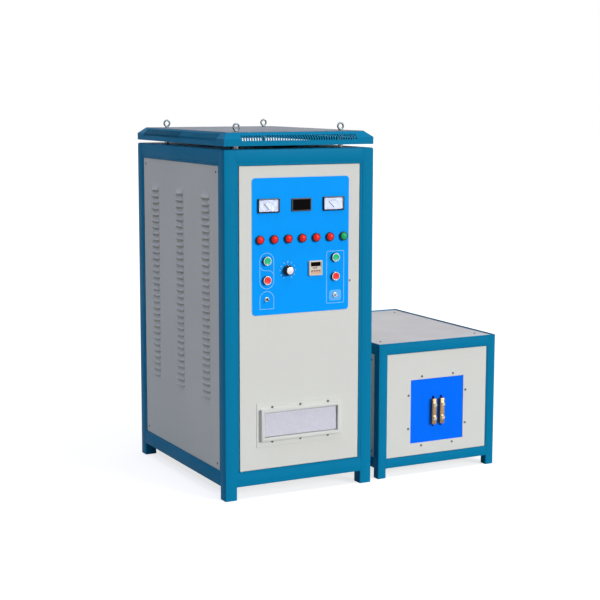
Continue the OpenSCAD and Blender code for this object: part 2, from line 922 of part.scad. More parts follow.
module breaker_lever() {
    color(cream) main_place() translate([breaker_x, lever_y, breaker_z]) rotate([lever_rest, 0, 0]) {
        translate([-lever_w / 2, 0, 0]) rotate([0, 90, 0]) cylinder(r = lever_hub_r, h = lever_w);
        translate([move_gap - lever_pin_l / 2, 0, 0]) rotate([0, 90, 0])
            cylinder(r = lever_pin_r, h = lever_pin_l - 2 * move_gap);
        block([lever_w, lever_l, lever_thick], [-lever_w / 2, -lever_l, -lever_thick / 2]);
    }
}

module cooling_plates() {
    color(copper) main_place() for (x = cold_x)
        block([cold_w, cold_t, cold_h], [x - cold_w / 2, gear_y - cold_t, cold_z - cold_h / 2]);
}

module power_modules() {
    color(black) main_place() for (x = cold_x, k = [-1, 1])
        block([module_w, module_t, module_h],
            [x - module_w / 2, gear_y - cold_t - module_t, cold_z + k * module_pitch / 2 - module_h / 2]);
}

module dc_capacitors() {
    color(steel_dark) main_place() for (x = cap_x)
        translate([x, gear_y, cap_z]) rotate([90, 0, 0]) cylinder(r = cap_r, h = cap_h);
}

// A laminated frame with a coil round each upright limb, standing on the floor pan
module limb_core(w, d, h, limb) {
    difference() {
        pad(w, d, h);
        translate([0, 0, limb]) pad(w - 2 * limb, d + 2 * over, h - 2 * limb);
    }
}

module limb_coils(w, d, h, limb, wall) {
    for (k = [-1, 1]) translate([k * (w - limb) / 2, 0, limb]) difference() {
        pad(limb + 2 * wall, d + 2 * wall, h - 2 * limb);
        translate([0, 0, -over]) pad(limb, d, h + 2 * over);
    }
}

module dc_choke() {
    main_place() translate([main_w / 2, choke_y, main_floor + pan_t]) {
        color(steel_dark) limb_core(choke_w, choke_d, choke_h, choke_limb);
        color(copper) limb_coils(choke_w, choke_d, choke_h, choke_limb, coil_wall);
    }
}

module control_board() {
    y = gear_y - board_standoff;
    color(green) main_place() {
        block([board_w, board_t, board_h], [(main_w - board_w) / 2, y - board_t, board_z - board_h / 2]);
        for (x = [-1, 1], z = [-1, 1])
            translate([main_w / 2 + x * (board_w / 2 - 2 * board_standoff_r), gear_y,
                board_z + z * (board_h / 2 - 2 * board_standoff_r)])
                rotate([90, 0, 0]) cylinder(r = board_standoff_r, h = board_standoff + board_t / 2);
        for (k = [-1, 0, 1])
            block([board_w / 5, chip_t, board_h / 3],
                [main_w / 2 + k * board_w / 3 - board_w / 10, y - board_t - chip_t, board_z - board_h / 6]);
    }
}

// A water bar inside a back panel with two hose tails through it
module water_bar(w) {
    block([bar_share * w, bar_side, bar_side],
        [(1 - bar_share) / 2 * w, recess + sheet, bar_z - bar_side / 2]);
    for (k = [-1, 1]) translate([w / 2 + k * tail_pitch / 2, recess - tail_reach, bar_z])
        rotate([-90, 0, 0]) difference() {
            union() {
                cylinder(r = tail_r, h = tail_reach + sheet + over);
                translate([0, 0, tail_reach - tail_collar_h]) cylinder(r = tail_collar_r, h = tail_collar_h);
            }
            translate([0, 0, -over]) cylinder(r = tail_bore_r, h = tail_bore_l + over);
        }
}

module water_manifolds() {
    color(brass) main_place() on_back(main_w, main_d) water_bar(main_w);
    color(brass) station_place() on_back(station_w, station_d) water_bar(station_w);
}

// A cable gland through the back panel of a cabinet of width w, with its lock nut inside
module gland(w) {
    translate([gland_x(w), recess, bar_z]) rotate([90, 0, 0]) difference() {
        union() {
            cylinder(r = gland_r, h = gland_body_l);
            translate([0, 0, -sheet - over]) cylinder(r = gland_thread_r, h = sheet + 2 * over);
            translate([0, 0, -sheet - gland_nut_l]) cylinder(r = gland_r, h = gland_nut_l);
        }
        translate([0, 0, -sheet - gland_nut_l - over])
            cylinder(r = gland_bore_r, h = gland_body_l + gland_nut_l + sheet + 2 * over);
    }
}

module cable_glands() {
    color(black) main_place() on_back(main_w, main_d) gland(main_w);
    color(black) station_place() on_back(station_w, station_d) gland(station_w);
}

// Local frame of a device: x to the right, y up, z out of the overlay towards the front
module on_overlay(place) {
    main_place() translate([overlay_x + place[0], overlay_y, overlay_z + place[1]])
        rotate([90, 0, 0]) children();
}

lamp_places = [for (k = [0 : lamp_count - 1])
    [lamp_shift + (k - (lamp_count - 1) / 2) * lamp_pitch, lamp_z]];
meter_places = [for (k = [-1, 1]) [k * meter_x, meter_z]];
display_place = [0, meter_z];
button_places = [for (k = [-1, 1], z = button_z) [k * button_x, z]];
toggle_places = [for (k = [-1, 1]) [k * button_x, toggle_z]];
knob_place = [knob_x, knob_z];
timer_place = [timer_x, timer_z];
key_places = [for (k = [0 : key_count - 1])
    [timer_x + (k - (key_count - 1) / 2) * key_pitch, timer_z + key_z]];

// Everything that passes through the overlay and the door, each with a small gap
module device_holes(depth) {
    module at(place) { translate([overlay_x + place[0], overlay_y - over, overlay_z + place[1]])
        rotate([-90, 0, 0]) children(); }
    for (p = concat(lamp_places, button_places)) at(p) cylinder(r = barrel_hole_r, h = depth);
    for (p = meter_places) at(p) pad(meter_body_w + 2 * fit_gap, meter_body_h + 2 * fit_gap, depth);
    at(display_place) pad(display_body_w + 2 * fit_gap, display_body_h + 2 * fit_gap, depth);
    at(timer_place) pad(timer_body_w + 2 * fit_gap, timer_body_w + 2 * fit_gap, depth);
    for (p = concat(toggle_places, [knob_place])) at(p) cylinder(r = toggle_bush_r + move_gap, h = depth);
}

// The filter's place on the door
filter_z = door_b + filter_mid;
filter_hole_w = rim_w - 2 * rim_wall;
filter_hole_h = rim_h - 2 * rim_wall;
filter_screws = [for (x = [-1, 0, 1], z = [-1, 1])
    [door_mid + x * filter_screw_x, filter_z + z * filter_screw_z]];
lock_place_x = door_r - lock_in;
lock_place_z = overlay_z - lock_drop;

module front_door() {
    w = door_r - door_l;
    h = door_t - door_b;
    color(panel_grey) main_place() difference() {
        union() {
            block([w, sheet, h], [door_l, recess, door_b]);
            for (x = [door_l, door_r - sheet]) block([sheet, door_flange, h], [x, recess, door_b]);
            for (z = [door_b, door_t - sheet]) block([w, door_flange, sheet], [door_l, recess, z]);
            for (z = [door_b, door_t - hinge_eye_h])
                translate([hinge_x, hinge_y, z]) cylinder(r = hinge_eye_r, h = hinge_eye_h);
        }
        for (z = [door_b - over, door_t - hinge_eye_h - over])
            translate([hinge_x, hinge_y, z]) cylinder(r = hinge_pin_r + run_gap, h = hinge_eye_h + 2 * over);
        device_holes(sheet + overlay_t + 2 * over);
        block([filter_hole_w, sheet + 2 * over, filter_hole_h],
            [door_mid - filter_hole_w / 2, recess - over, filter_z - filter_hole_h / 2]);
        for (p = filter_screws) translate([p[0], recess + sheet + over, p[1]]) rotate([90, 0, 0])
            cylinder(r = screw_hole_r, h = sheet + 2 * over);
        translate([lock_place_x, recess + sheet + over, lock_place_z]) rotate([90, 0, 0])
            cylinder(r = lock_r + run_gap, h = sheet + 2 * over);
    }
}

module control_overlay() {
    color(overlay_blue) main_place() difference() {
        translate([overlay_x, recess, overlay_z]) rotate([90, 0, 0]) linear_extrude(overlay_t)
            soft_rect(overlay_w, overlay_h, overlay_r);
        device_holes(overlay_t + 2 * over);
    }
}

// A pointer meter's case: bezel with an open front, body behind it and a bore for the pointer's shaft
module meter_case() {
    inner_w = meter_w - 2 * meter_wall;
    inner_h = meter_h - 2 * meter_wall;
    difference() {
        union() {
            pad(meter_w, meter_h, meter_proud);
            translate([0, 0, -meter_body_depth]) pad(meter_body_w, meter_body_h, meter_body_depth + over);
        }
        translate([0, 0, meter_dial_z]) pad(inner_w, inner_h, meter_proud);
        translate([0, -pivot_drop, meter_dial_z - pivot_depth])
            cylinder(r = pivot_r + run_gap, h = pivot_depth + over);
    }
    translate([0, 0, meter_dial_z]) difference() {
        pad(inner_w - 2 * fit_gap, inner_h - 2 * fit_gap, meter_dial_t);
        translate([0, -pivot_drop, -over]) cylinder(r = pivot_r + move_gap, h = meter_dial_t + 2 * over);
    }
}

module display_case() {
    difference() {
        union() {
            pad(display_w, display_h, display_proud);
            translate([0, 0, -display_body_depth])
                pad(display_body_w, display_body_h, display_body_depth + over);
        }
        translate([0, 0, display_proud - display_pocket])
            pad(display_w - 2 * display_wall, display_h - 2 * display_wall, display_pocket + over);
    }
}

module instrument_cases() {
    color(black) {
        for (p = meter_places) on_overlay(p) meter_case();
        on_overlay(display_place) display_case();
    }
}

module instrument_windows() {
    color(window_tint) {
        for (p = meter_places) on_overlay(p) translate([0, 0, meter_proud - window_t - window_inset])
            pad(meter_w - 2 * (meter_wall + fit_gap), meter_h - 2 * (meter_wall + fit_gap), window_t);
        on_overlay(display_place) translate([0, 0, display_proud - display_pocket + fit_gap])
            pad(display_w - 2 * (display_wall + fit_gap), display_h - 2 * (display_wall + fit_gap),
                window_t);
    }
}

// A pointer that turns about its shaft; at rest it leans to the left end of the scale
module meter_needle(place) {
    color(black) on_overlay(place) translate([0, -pivot_drop, 0]) {
        translate([0, 0, meter_dial_z - pivot_depth + fit_gap])
            cylinder(r = pivot_r, h = needle_z + needle_thin - meter_dial_z + pivot_depth - fit_gap);
        rotate([0, 0, needle_rest])
            translate([-needle_wide / 2, 0, needle_z]) cube([needle_wide, needle_l, needle_thin]);
    }
}

module meter_needle_left() { meter_needle(meter_places[0]); }
module meter_needle_right() { meter_needle(meter_places[1]); }

// The barrel of a lamp or button behind the panel, with its nut
module barrel() {
    translate([0, 0, -barrel_depth]) cylinder(r = barrel_r, h = barrel_depth + over / 2);
    translate([0, 0, -overlay_t - sheet - nut_h]) cylinder(r = nut_r, h = nut_h);
}

module lamp_bezels() {
    color(black) for (p = lamp_places) on_overlay(p) difference() {
        union() {
            cylinder(r = bezel_d / 2, h = lamp_rim_h);
            barrel();
        }
        translate([0, 0, lens_foot])
            cylinder(r = bezel_d / 2 - lamp_rim_wall, h = lamp_rim_h);
    }
}

// The lamps' domed lenses: six red and one green
module lamp_lenses() {
    lens_r = bezel_d / 2 - lamp_rim_wall - fit_gap;
    dome_r = (lens_r * lens_r + lens_h * lens_h) / (2 * lens_h);
    for (k = [0 : lamp_count - 1]) color(k == lamp_count - 1 ? green : red) on_overlay(lamp_places[k])
        translate([0, 0, lens_foot]) intersection() {
            cylinder(r = lens_r, h = lens_h);
            translate([0, 0, lens_h - dome_r]) sphere(dome_r);
        }
}

module button_rings() {
    color(zinc) for (p = button_places) on_overlay(p) difference() {
        union() {
            cylinder(r = bezel_d / 2, h = ring_h);
            barrel();
        }
        translate([0, 0, ring_floor]) cylinder(r = bezel_d / 2 - ring_wall, h = ring_h);
        translate([0, 0, ring_h - cap_t + cap_proud - stem_l - stem_room - button_travel])
            cylinder(r = stem_r + move_gap, h = stem_l + stem_room + button_travel + cap_t);
    }
}

// A push button's cap and stem, which slide in the ring
module push_cap(place) {
    cap_low = ring_h + cap_proud - cap_t;
    on_overlay(place) {
        translate([0, 0, cap_low]) cylinder(r = bezel_d / 2 - ring_wall - move_gap, h = cap_t);
        translate([0, 0, cap_low - stem_l]) cylinder(r = stem_r, h = stem_l + over);
    }
}

module green_button_left() { color(green) push_cap(button_places[0]); }
module red_button_left() { color(red) push_cap(button_places[1]); }
module green_button_right() { color(green) push_cap(button_places[2]); }
module red_button_right() { color(red) push_cap(button_places[3]); }

// The toggle switch's body: nut and bush in front, case behind, and a round seat for the lever's ball
module toggle_body() {
    difference() {
        union() {
            cylinder(r = toggle_nut_r, h = toggle_nut_h, $fn = 6);
            translate([0, 0, -overlay_t - sheet])
                cylinder(r = toggle_bush_r, h = overlay_t + sheet + toggle_bush_h);
            translate([0, 0, -overlay_t - sheet - toggle_body_l])
                pad(toggle_body_w, toggle_body_h, toggle_body_l);
        }
        translate([0, 0, toggle_pivot_z]) sphere(toggle_ball_r + move_gap);
        translate([0, 0, toggle_pivot_z])
            cylinder(r = toggle_mouth_r, h = toggle_bush_h + over);
    }
}

// The power knob's setting resistor: bush through the panel and round case behind it
module pot_body() {
    difference() {
        union() {
            translate([0, 0, -overlay_t - sheet]) cylinder(r = toggle_bush_r, h = overlay_t + sheet);
            translate([0, 0, -overlay_t - sheet - pot_l]) cylinder(r = pot_r, h = pot_l);
        }
        translate([0, 0, -shaft_l]) cylinder(r = shaft_r + run_gap, h = shaft_l + over);
    }
}

module control_bodies() {
    color(zinc) {
        for (p = toggle_places) on_overlay(p) toggle_body();
        on_overlay(knob_place) pot_body();
    }
}

module power_knob() {
    color(black) on_overlay(knob_place) translate([0, 0, knob_lift]) {
        top_r = knob_d * knob_top_share;
        cap_r = knob_d * knob_cap_share;
        rotate_extrude() polygon([
            [0, 0], [knob_d / 2, 0], [knob_d / 2, knob_skirt_h], [top_r, knob_h - knob_cap_h],
            [cap_r, knob_h - knob_cap_h], [cap_r, knob_h], [0, knob_h]
        ]);
        translate([0, 0, fit_gap - shaft_l - knob_lift])
            cylinder(r = shaft_r, h = shaft_l + knob_lift + over);
    }
}

// A toggle lever about its ball; at rest it points a little down
module toggle_lever(place) {
    color(zinc) on_overlay(place) translate([0, 0, toggle_pivot_z]) rotate([toggle_rest, 0, 0]) {
        sphere(toggle_ball_r);
        cylinder(r1 = toggle_root_r, r2 = toggle_tip_r, h = toggle_l);
        translate([0, 0, toggle_l]) sphere(toggle_tip_r);
    }
}

module toggle_lever_left() { toggle_lever(toggle_places[0]); }
module toggle_lever_right() { toggle_lever(toggle_places[1]); }

// The timer: square front with a sunk face, body behind, and four pockets for its keys
module timer_case() {
    color(cream) difference() {
        on_overlay(timer_place) difference() {
            union() {
                pad(timer_w, timer_w, timer_proud);
                translate([0, 0, -timer_body_l]) pad(timer_body_w, timer_body_w, timer_body_l + over);
            }
            translate([0, 0, timer_proud - timer_face_drop])
                pad(timer_w - 2 * timer_rim, timer_w - 2 * timer_rim, timer_face_drop + over);
        }
        for (p = key_places) on_overlay(p)
            translate([0, 0, timer_proud - timer_face_drop - key_l - key_travel])
                pad(key_w + 2 * move_gap, key_h + 2 * move_gap, key_l + key_travel + over);
    }
}

// A key of the timer, standing a little out of the sunk face
module timer_key(place) {
    color(red) on_overlay(place) translate([0, 0, timer_proud - timer_face_drop + key_proud - key_l])
        pad(key_w, key_h, key_l);
}

module timer_key_1() { timer_key(key_places[0]); }
module timer_key_2() { timer_key(key_places[1]); }
module timer_key_3() { timer_key(key_places[2]); }
module timer_key_4() { timer_key(key_places[3]); }

// The door's quarter turn lock: slotted head level with the door, shaft, and a cam that hangs down at rest
module door_lock() {
    color(panel_grey) main_place() translate([lock_place_x, recess, lock_place_z]) {
        difference() {
            rotate([-90, 0, 0]) cylinder(r = lock_r, h = cam_y + cam_t - recess);
            block([2 * lock_r + 2 * over, lock_slot_depth + over, lock_slot_w],
                [-lock_r - over, -over, -lock_slot_w / 2]);
        }
        block([cam_w, cam_t, cam_l + cam_w / 2], [-cam_w / 2, cam_y - recess, -cam_l]);
    }
}

// The filter's flange and raised rim in one piece, and its six screws
module filter_frame() {
    color(panel_grey) main_place() {
        difference() {
            union() {
                block([filter_w, filter_sheet, filter_h],
                    [door_mid - filter_w / 2, recess - filter_sheet, filter_z - filter_h / 2]);
                block([rim_w, rim_proud, rim_h],
                    [door_mid - rim_w / 2, recess - rim_proud, filter_z - rim_h / 2]);
            }
            block([filter_hole_w, rim_proud + 2 * over, filter_hole_h],
                [door_mid - filter_hole_w / 2, recess - rim_proud - over, filter_z - filter_hole_h / 2]);
            for (p = filter_screws) translate([p[0], recess + over, p[1]]) rotate([90, 0, 0])
                cylinder(r = screw_hole_r, h = filter_sheet + 2 * over);
        }
        for (p = filter_screws) translate([p[0], recess - filter_sheet, p[1]])
            panel_screw(filter_sheet + sheet + tab_t);
    }
}

module filter_mat() {
    w = filter_hole_w - 2 * mat_gap;
    h = filter_hole_h - 2 * mat_gap;
    color(mat_grey) main_place()
        block([w, mat_t, h], [door_mid - w / 2, recess - rim_proud + mat_back, filter_z - h / 2]);
}

module station_front_panel() {
    edge = station_ledge + panel_gap;
    color(panel_grey) station_place() difference() {
        block([station_open_w - 2 * edge, sheet, station_open_h - 2 * edge],
            [station_tube + edge, recess, station_floor + edge]);
        block([window_w, sheet + 2 * over, window_h],
            [(station_w - window_w) / 2, recess - over, window_z - window_h / 2]);
        for (p = board_screws) translate([station_w / 2 + p[0], recess + sheet + over, window_z + p[1]])
            rotate([90, 0, 0]) cylinder(r = screw_hole_r, h = sheet + 2 * over);
    }
}

module station_top_plate() {
    edge = station_rim_t + panel_gap;
    color(panel_grey) station_place() difference() {
        block([station_w - 2 * edge, station_d - 2 * edge, plate_t], [edge, edge, station_top]);
        for (p = top_screws) translate([p[0], p[1], station_top - over])
            cylinder(r = screw_hole_r, h = plate_t + 2 * over);
    }
}

// Middles of the two output blocks, across the station
block_x = [station_w / 2 - block_pitch / 2, station_w / 2 + block_pitch / 2];
block_z = window_z - block_drop;
board_front = recess + sheet;
tongue_end = core_y + tongue_in;
tongue_reach = core_w / 2 - core_limb - winding_wall - block_pitch / 2;

module insulating_board() {
    color(board_blue) station_place() difference() {
        block([board_side_x, board_thick, board_side_z],
            [(station_w - board_side_x) / 2, board_front, window_z - board_side_z / 2]);
        for (x = block_x)
            block([slot_side, board_thick + 2 * over, slot_l],
                [x - slot_side / 2, board_front - over, block_z - slot_l / 2]);
        for (p = board_screws) translate([station_w / 2 + p[0], board_front - over, window_z + p[1]])
            rotate([-90, 0, 0]) cylinder(r = screw_hole_r, h = board_thick / 2 + over);
    }
}

// Each output block clamps on the board's face; its tongue passes the slot and turns to a winding
module output_blocks() {
    color(brass) station_place() for (x = block_x) difference() {
        union() {
            translate([x, board_front, block_z]) rotate([90, 0, 0]) linear_extrude(block_t)
                soft_rect(block_w, block_h, block_r);
            block([tongue_w, tongue_end - board_front + over, tongue_h],
                [x - tongue_w / 2, board_front - over, block_z - tongue_h / 2]);
            block([tongue_reach, tongue_w, tongue_h],
                [x < station_w / 2 ? x - tongue_reach : x, tongue_end - tongue_w, block_z - tongue_h / 2]);
        }
        for (k = [-1, 1]) translate([x, board_front - block_t - over, block_z + k * bolt_pitch / 2])
            rotate([-90, 0, 0]) cylinder(r = bolt_shank_r + move_gap, h = block_t);
    }
}

module output_bolts() {
    color(brass) station_place() for (x = block_x, k = [-1, 1])
        translate([x, board_front - block_t, block_z + k * bolt_pitch / 2]) rotate([90, 0, 0]) {
            cylinder(r = bolt_r, h = bolt_head_h, $fn = 6);
            translate([0, 0, -block_t + 2 * over + fit_gap]) cylinder(r = bolt_shank_r, h = block_t - over);
        }
}

// The matching transformer: laminated frame, two windings, and two posts that stand it on the floor pan
module matching_transformer() {
    station_place() translate([station_w / 2, core_y + core_d / 2, 0]) {
        color(steel_dark) translate([0, 0, core_z]) limb_core(core_w, core_d, core_h, core_limb);
        color(copper) translate([0, 0, core_z]) limb_coils(core_w, core_d, core_h, core_limb, winding_wall);
        for (k = [-1, 1]) color(cream) translate([k * (core_w - core_limb) / 2, 0, station_floor + pan_t])
            pad(core_limb, core_d, core_z - station_floor - pan_t - fit_gap);
    }
}

module resonant_capacitors() {
    pitch = (station_open_w - 2 * cap_box_edge) / cap_box_count;
    first = station_w / 2 - (cap_box_count - 1) / 2 * pitch;
    color(zinc) station_place() for (k = [0 : cap_box_count - 1])
        translate([first + k * pitch, cap_box_y + cap_box_d / 2, station_floor + pan_t]) {
            pad(cap_box_share * pitch, cap_box_d, cap_box_h);
            for (y = [-1, 1]) translate([0, y * cap_box_d / 4, cap_box_h - over])
                cylinder(r = cap_stud_r, h = cap_stud_h + over);
        }
}

main_posts();
main_rails();
frame_ledges();
closing_sheets();
left_panel();
right_panel();
rear_panels();
panel_screws();
hood_shell();
hood_top_plate();
hood_spacers();
lifting_eyes();
fan_frame();
fan_rotor();
hinge_pins();
mounting_plate();
breaker_case();
breaker_lever();
cooling_plates();
power_modules();
dc_capacitors();
dc_choke();
control_board();
water_manifolds();
cable_glands();
front_door();
control_overlay();
instrument_cases();
instrument_windows();
meter_needle_left();
meter_needle_right();
lamp_bezels();
lamp_lenses();
button_rings();
green_button_left();
red_button_left();
green_button_right();
red_button_right();
control_bodies();
power_knob();
toggle_lever_left();
toggle_lever_right();
timer_case();
timer_key_1();
timer_key_2();
timer_key_3();
timer_key_4();
door_lock();
filter_frame();
filter_mat();
station_posts();
station_rails();
station_front_panel();
station_side_panels();
station_top_plate();
insulating_board();
output_blocks();
output_bolts();
matching_transformer();
resonant_capacitors();
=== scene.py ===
"""Induction heating machine: the looks of the power cabinet and the output station."""
import math

import bpy
import numpy as np
from mathutils import Matrix, Vector


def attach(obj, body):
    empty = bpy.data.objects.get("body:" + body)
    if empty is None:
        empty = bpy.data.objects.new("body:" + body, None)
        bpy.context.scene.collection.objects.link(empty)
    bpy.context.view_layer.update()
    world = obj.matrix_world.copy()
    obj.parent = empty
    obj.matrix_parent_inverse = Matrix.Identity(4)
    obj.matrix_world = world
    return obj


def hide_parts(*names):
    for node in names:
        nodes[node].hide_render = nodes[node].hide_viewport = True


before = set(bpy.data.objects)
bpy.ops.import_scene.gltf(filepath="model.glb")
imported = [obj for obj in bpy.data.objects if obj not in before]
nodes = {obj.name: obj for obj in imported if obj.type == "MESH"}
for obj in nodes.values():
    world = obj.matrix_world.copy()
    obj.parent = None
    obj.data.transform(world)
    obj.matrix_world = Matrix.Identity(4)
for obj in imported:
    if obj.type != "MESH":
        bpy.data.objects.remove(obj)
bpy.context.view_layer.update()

# sizes, in millimetres as in the part's source
MM = 0.001
MID_X, MID_Y = 522.5, 370.25
MAIN_W, MAIN_D, MAIN_H, TUBE, LEDGE = 535.0, 730.0, 1120.0, 40.0, 8.0
LEG_H, RECESS, SHEET, TUBE_WALL = 43.0, 3.0, 1.5, 2.5
STATION_X, STATION_Y, STATION_W, STATION_D = 575.0, 16.0, 470.0, 670.0
STATION_H, STATION_TUBE, STATION_LEG, STATION_LEDGE, RIM = 463.0, 30.0, 33.0, 3.0, 5.0
LOUVRES, LOUVRE_PITCH, LOUVRE_W, LOUVRE_H, LOUVRE_OUT, LOUVRE_LOW = 31, 21.6, 65.0, 15.0, 7.5, 233.0
COLUMN_PITCH, TAB, PANEL_GAP, SCREW_IN = 212.0, 40.0, 1.0, 21.0
DOOR_X, OVERLAY_X, OVERLAY_Y, OVERLAY_Z = 269.0, 271.0, 2.0, 814.0
METER_X, METER_Z, LAMP_SHIFT, LAMP_PITCH, LAMP_Z = 116.9, 130.5, 3.0, 50.4, 23.0
BUTTON_X, BUTTON_Z = 124.005, (-44.5, -106.5)
KNOB_X, KNOB_Z, TIMER_X, TIMER_Z = -47.95, -78.5, 50.75, -76.0
FILTER_Z, FILTER_W, FILTER_H = 237.5, 316.0, 144.0
RIM_W, RIM_H, RIM_OUT, RIM_WALL, HOOD_DROP = 290.0, 105.0, 13.0, 11.0, 60.0
WINDOW_Z, BOARD_Y, BLOCK_PITCH, BLOCK_T, BLOCK_Z, BOLT_PITCH = 219.0, 4.5, 32.0, 12.0, 214.0, 46.0

RIGHT, BACK, UP = (1, 0, 0), (0, 1, 0), (0, 0, 1)
LEFT, FRONT = (-1, 0, 0), (0, -1, 0)
QUARTERS = [(-1, -1), (-1, 1), (1, -1), (1, 1)]


# shapes, with the least radii of a pole and a corner (mm) and the least cell shaded flat (square metres)
POLE_R, CORNER_R, WIDE_CELL = 1e-4, 0.01, 0.0005


def ring(half_w, half_h, r, n):
    """Rounded rectangle: four corner centres, each plus r times a quarter of the unit circle."""
    a = np.concatenate([np.linspace(0, np.pi / 2, n) + k * np.pi / 2 for k in range(4)])
    x = np.repeat([1, -1, -1, 1], n) * (half_w - r) + r * np.cos(a)
    y = np.repeat([1, 1, -1, -1], n) * (half_h - r) + r * np.sin(a)
    return np.stack([x, y], 1)


def arc(cx, cy, r, start, end, n):
    """Points on a circle from one angle to another, in degrees."""
    a = np.radians(np.linspace(start, end, n))
    return np.column_stack([cx + r * np.cos(a), cy + r * np.sin(a)])


def strip(half, low, high):
    """The section of a low flat strip: a rectangle of a half width between two levels."""
    return [(-half, low), (half, low), (half, high), (-half, high)]


def quads(rows, cols, wrap=True):
    """Quads between neighbouring rows of a grid; wrap joins the last column to the first."""
    i, j = np.meshgrid(np.arange(rows - 1), np.arange(cols if wrap else cols - 1), indexing="ij")
    k = (j + 1) % cols
    f = np.stack([i * cols + j, i * cols + k, (i + 1) * cols + k, (i + 1) * cols + j], -1)
    return f.reshape(-1, 4)


def capped(points, rows, cols):
    """A stack of closed rings, with a fan on a middle point at each end."""
    ends = np.stack([points[:cols].mean(0), points[-cols:].mean(0)])
    verts = np.concatenate([points, ends])
    j = np.arange(cols)
    k = (j + 1) % cols
    low = np.stack([np.full(cols, len(points)), k, j], 1)
    high = np.stack([np.full(cols, len(points) + 1), (rows - 1) * cols + j, (rows - 1) * cols + k], 1)
    return outward((verts, [quads(rows, cols), low, high]))


def outward(shell):
    """Turns a closed shell's faces round if its signed volume is negative."""
    verts, faces = shell
    volume = 0.0
    for f in faces:
        for a in range(1, f.shape[1] - 1):
            p, q, r = verts[f[:, 0]], verts[f[:, a]], verts[f[:, a + 1]]
            volume += np.einsum("ij,ij->i", p, np.cross(q, r)).sum()
    return (verts, [f[:, ::-1] for f in faces]) if volume < 0 else shell


def stepped(rings, n=4):
    """A solid through rounded rectangles, each (half width, half height, corner radius, level)."""
    pts = [np.column_stack([ring(w, h, max(r, CORNER_R), n), np.full(4 * n, t)]) for w, h, r, t in rings]
    return capped(np.concatenate(pts), len(rings), 4 * n)


def turned(profile, n=28):
    """A solid turned from (radius, level) pairs: each point runs round a circle of its radius."""
    a = np.arange(n) * 2 * np.pi / n
    circle = np.column_stack([np.cos(a), np.sin(a)])
    pts = [np.column_stack([max(r, POLE_R) * circle, np.full(n, t)]) for r, t in profile]
    return capped(np.concatenate(pts), len(profile), n)


def carried(path, section, closed=True):
    """A section (outwards, up) carried along a flat path: point + outwards x the corner's mitre."""
    path, section = np.asarray(path, float), np.asarray(section, float)
    after, before = np.roll(path, -1, 0) - path, path - np.roll(path, 1, 0)
    if not closed:
        after[-1], before[0] = before[-1], after[0]
    after /= np.linalg.norm(after, axis=1)[:, None]
    before /= np.linalg.norm(before, axis=1)[:, None]
    na, nb = np.stack([after[:, 1], -after[:, 0]], 1), np.stack([before[:, 1], -before[:, 0]], 1)
    mitre = (na + nb) / (1 + (na * nb).sum(1))[:, None]
    xy = path[:, None, :] + section[None, :, :1] * mitre[:, None, :]
    pts = np.concatenate([xy, np.broadcast_to(section[None, :, 1:], xy.shape[:2] + (1,))], 2)
    rows, cols = len(path), len(section)
    if not closed:
        return capped(pts.reshape(-1, 3), rows, cols)
    pts = np.concatenate([pts, pts[:1]])
    f = quads(rows + 1, cols) % (rows * cols)
    return outward((pts[:-1].reshape(-1, 3), [f]))


def moved(shell, dx, dy):
    """A shell moved in its own plane."""
    return shell[0] + [dx, dy, 0], shell[1]


def placed(shell, at, across=RIGHT, up=UP):
    """Moves a shell from (across, up, out) to the shared frame, where out is across x up."""
    verts, faces = shell
    axes = np.array([across, up, np.cross(across, up)], float)
    return (verts @ axes + np.array(at, float) - np.array([MID_X, MID_Y, 0.0])) * MM, faces


def on_overlay(shell, dx, dz):
    """Puts a shell on the overlay, dx and dz from its middle, facing the front."""
    return placed(shell, (OVERLAY_X + dx, OVERLAY_Y, OVERLAY_Z + dz))


def piece(name, shells, body, material, replaces=(), sharp=35.0):
    """Makes one mesh object from closed or open shells, in metres, and lets it ride on a body."""
    verts, loops, totals, start = [], [], [], 0
    for v, faces in shells:
        for f in faces:
            loops.append((f + start).ravel())
            totals.append(np.full(len(f), f.shape[1]))
        verts.append(v)
        start += len(v)
    verts, loops, totals = np.concatenate(verts), np.concatenate(loops), np.concatenate(totals)
    mesh = bpy.data.meshes.new(name)
    mesh.vertices.add(len(verts))
    mesh.vertices.foreach_set("co", verts.astype(np.float32).ravel())
    mesh.loops.add(len(loops))
    mesh.loops.foreach_set("vertex_index", loops.astype(np.int32))
    mesh.polygons.add(len(totals))
    mesh.polygons.foreach_set("loop_start", (np.cumsum(totals) - totals).astype(np.int32))
    mesh.polygons.foreach_set("loop_total", totals.astype(np.int32))
    mesh.polygons.foreach_set("use_smooth", np.ones(len(totals), bool))
    mesh.update(calc_edges=True)
    mesh.validate()
    mesh.set_sharp_from_angle(angle=math.radians(sharp))
    mesh.materials.append(material)
    obj = bpy.data.objects.new(name, mesh)
    bpy.context.scene.collection.objects.link(obj)
    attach(obj, body)
    if replaces:
        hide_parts(*replaces)
    return obj


def solidified(obj, thickness):
    """Gives an open sheet its thickness, inwards; its wide flat cells are shaded flat."""
    area = np.empty(len(obj.data.polygons))
    obj.data.polygons.foreach_get("area", area)
    obj.data.polygons.foreach_set("use_smooth", area < WIDE_CELL)
    sheet = obj.modifiers.new("sheet", "SOLIDIFY")
    sheet.thickness = thickness * MM
    sheet.offset = -1.0


# effects that several materials share
def new_group(name, inputs, outputs):
    """An empty node group with its input and output sockets."""
    tree = bpy.data.node_groups.new(name, "ShaderNodeTree")
    for label, kind, value in inputs:
        socket = tree.interface.new_socket(label, in_out="INPUT", socket_type=kind)
        socket.default_value = value
    for label, kind in outputs:
        tree.interface.new_socket(label, in_out="OUTPUT", socket_type=kind)
    return tree


def feed(tree, value, port):
    """Links an output to an input port, or sets a plain number or colour there."""
    if isinstance(value, bpy.types.NodeSocket):
        tree.links.new(value, port)
    else:
        port.default_value = value


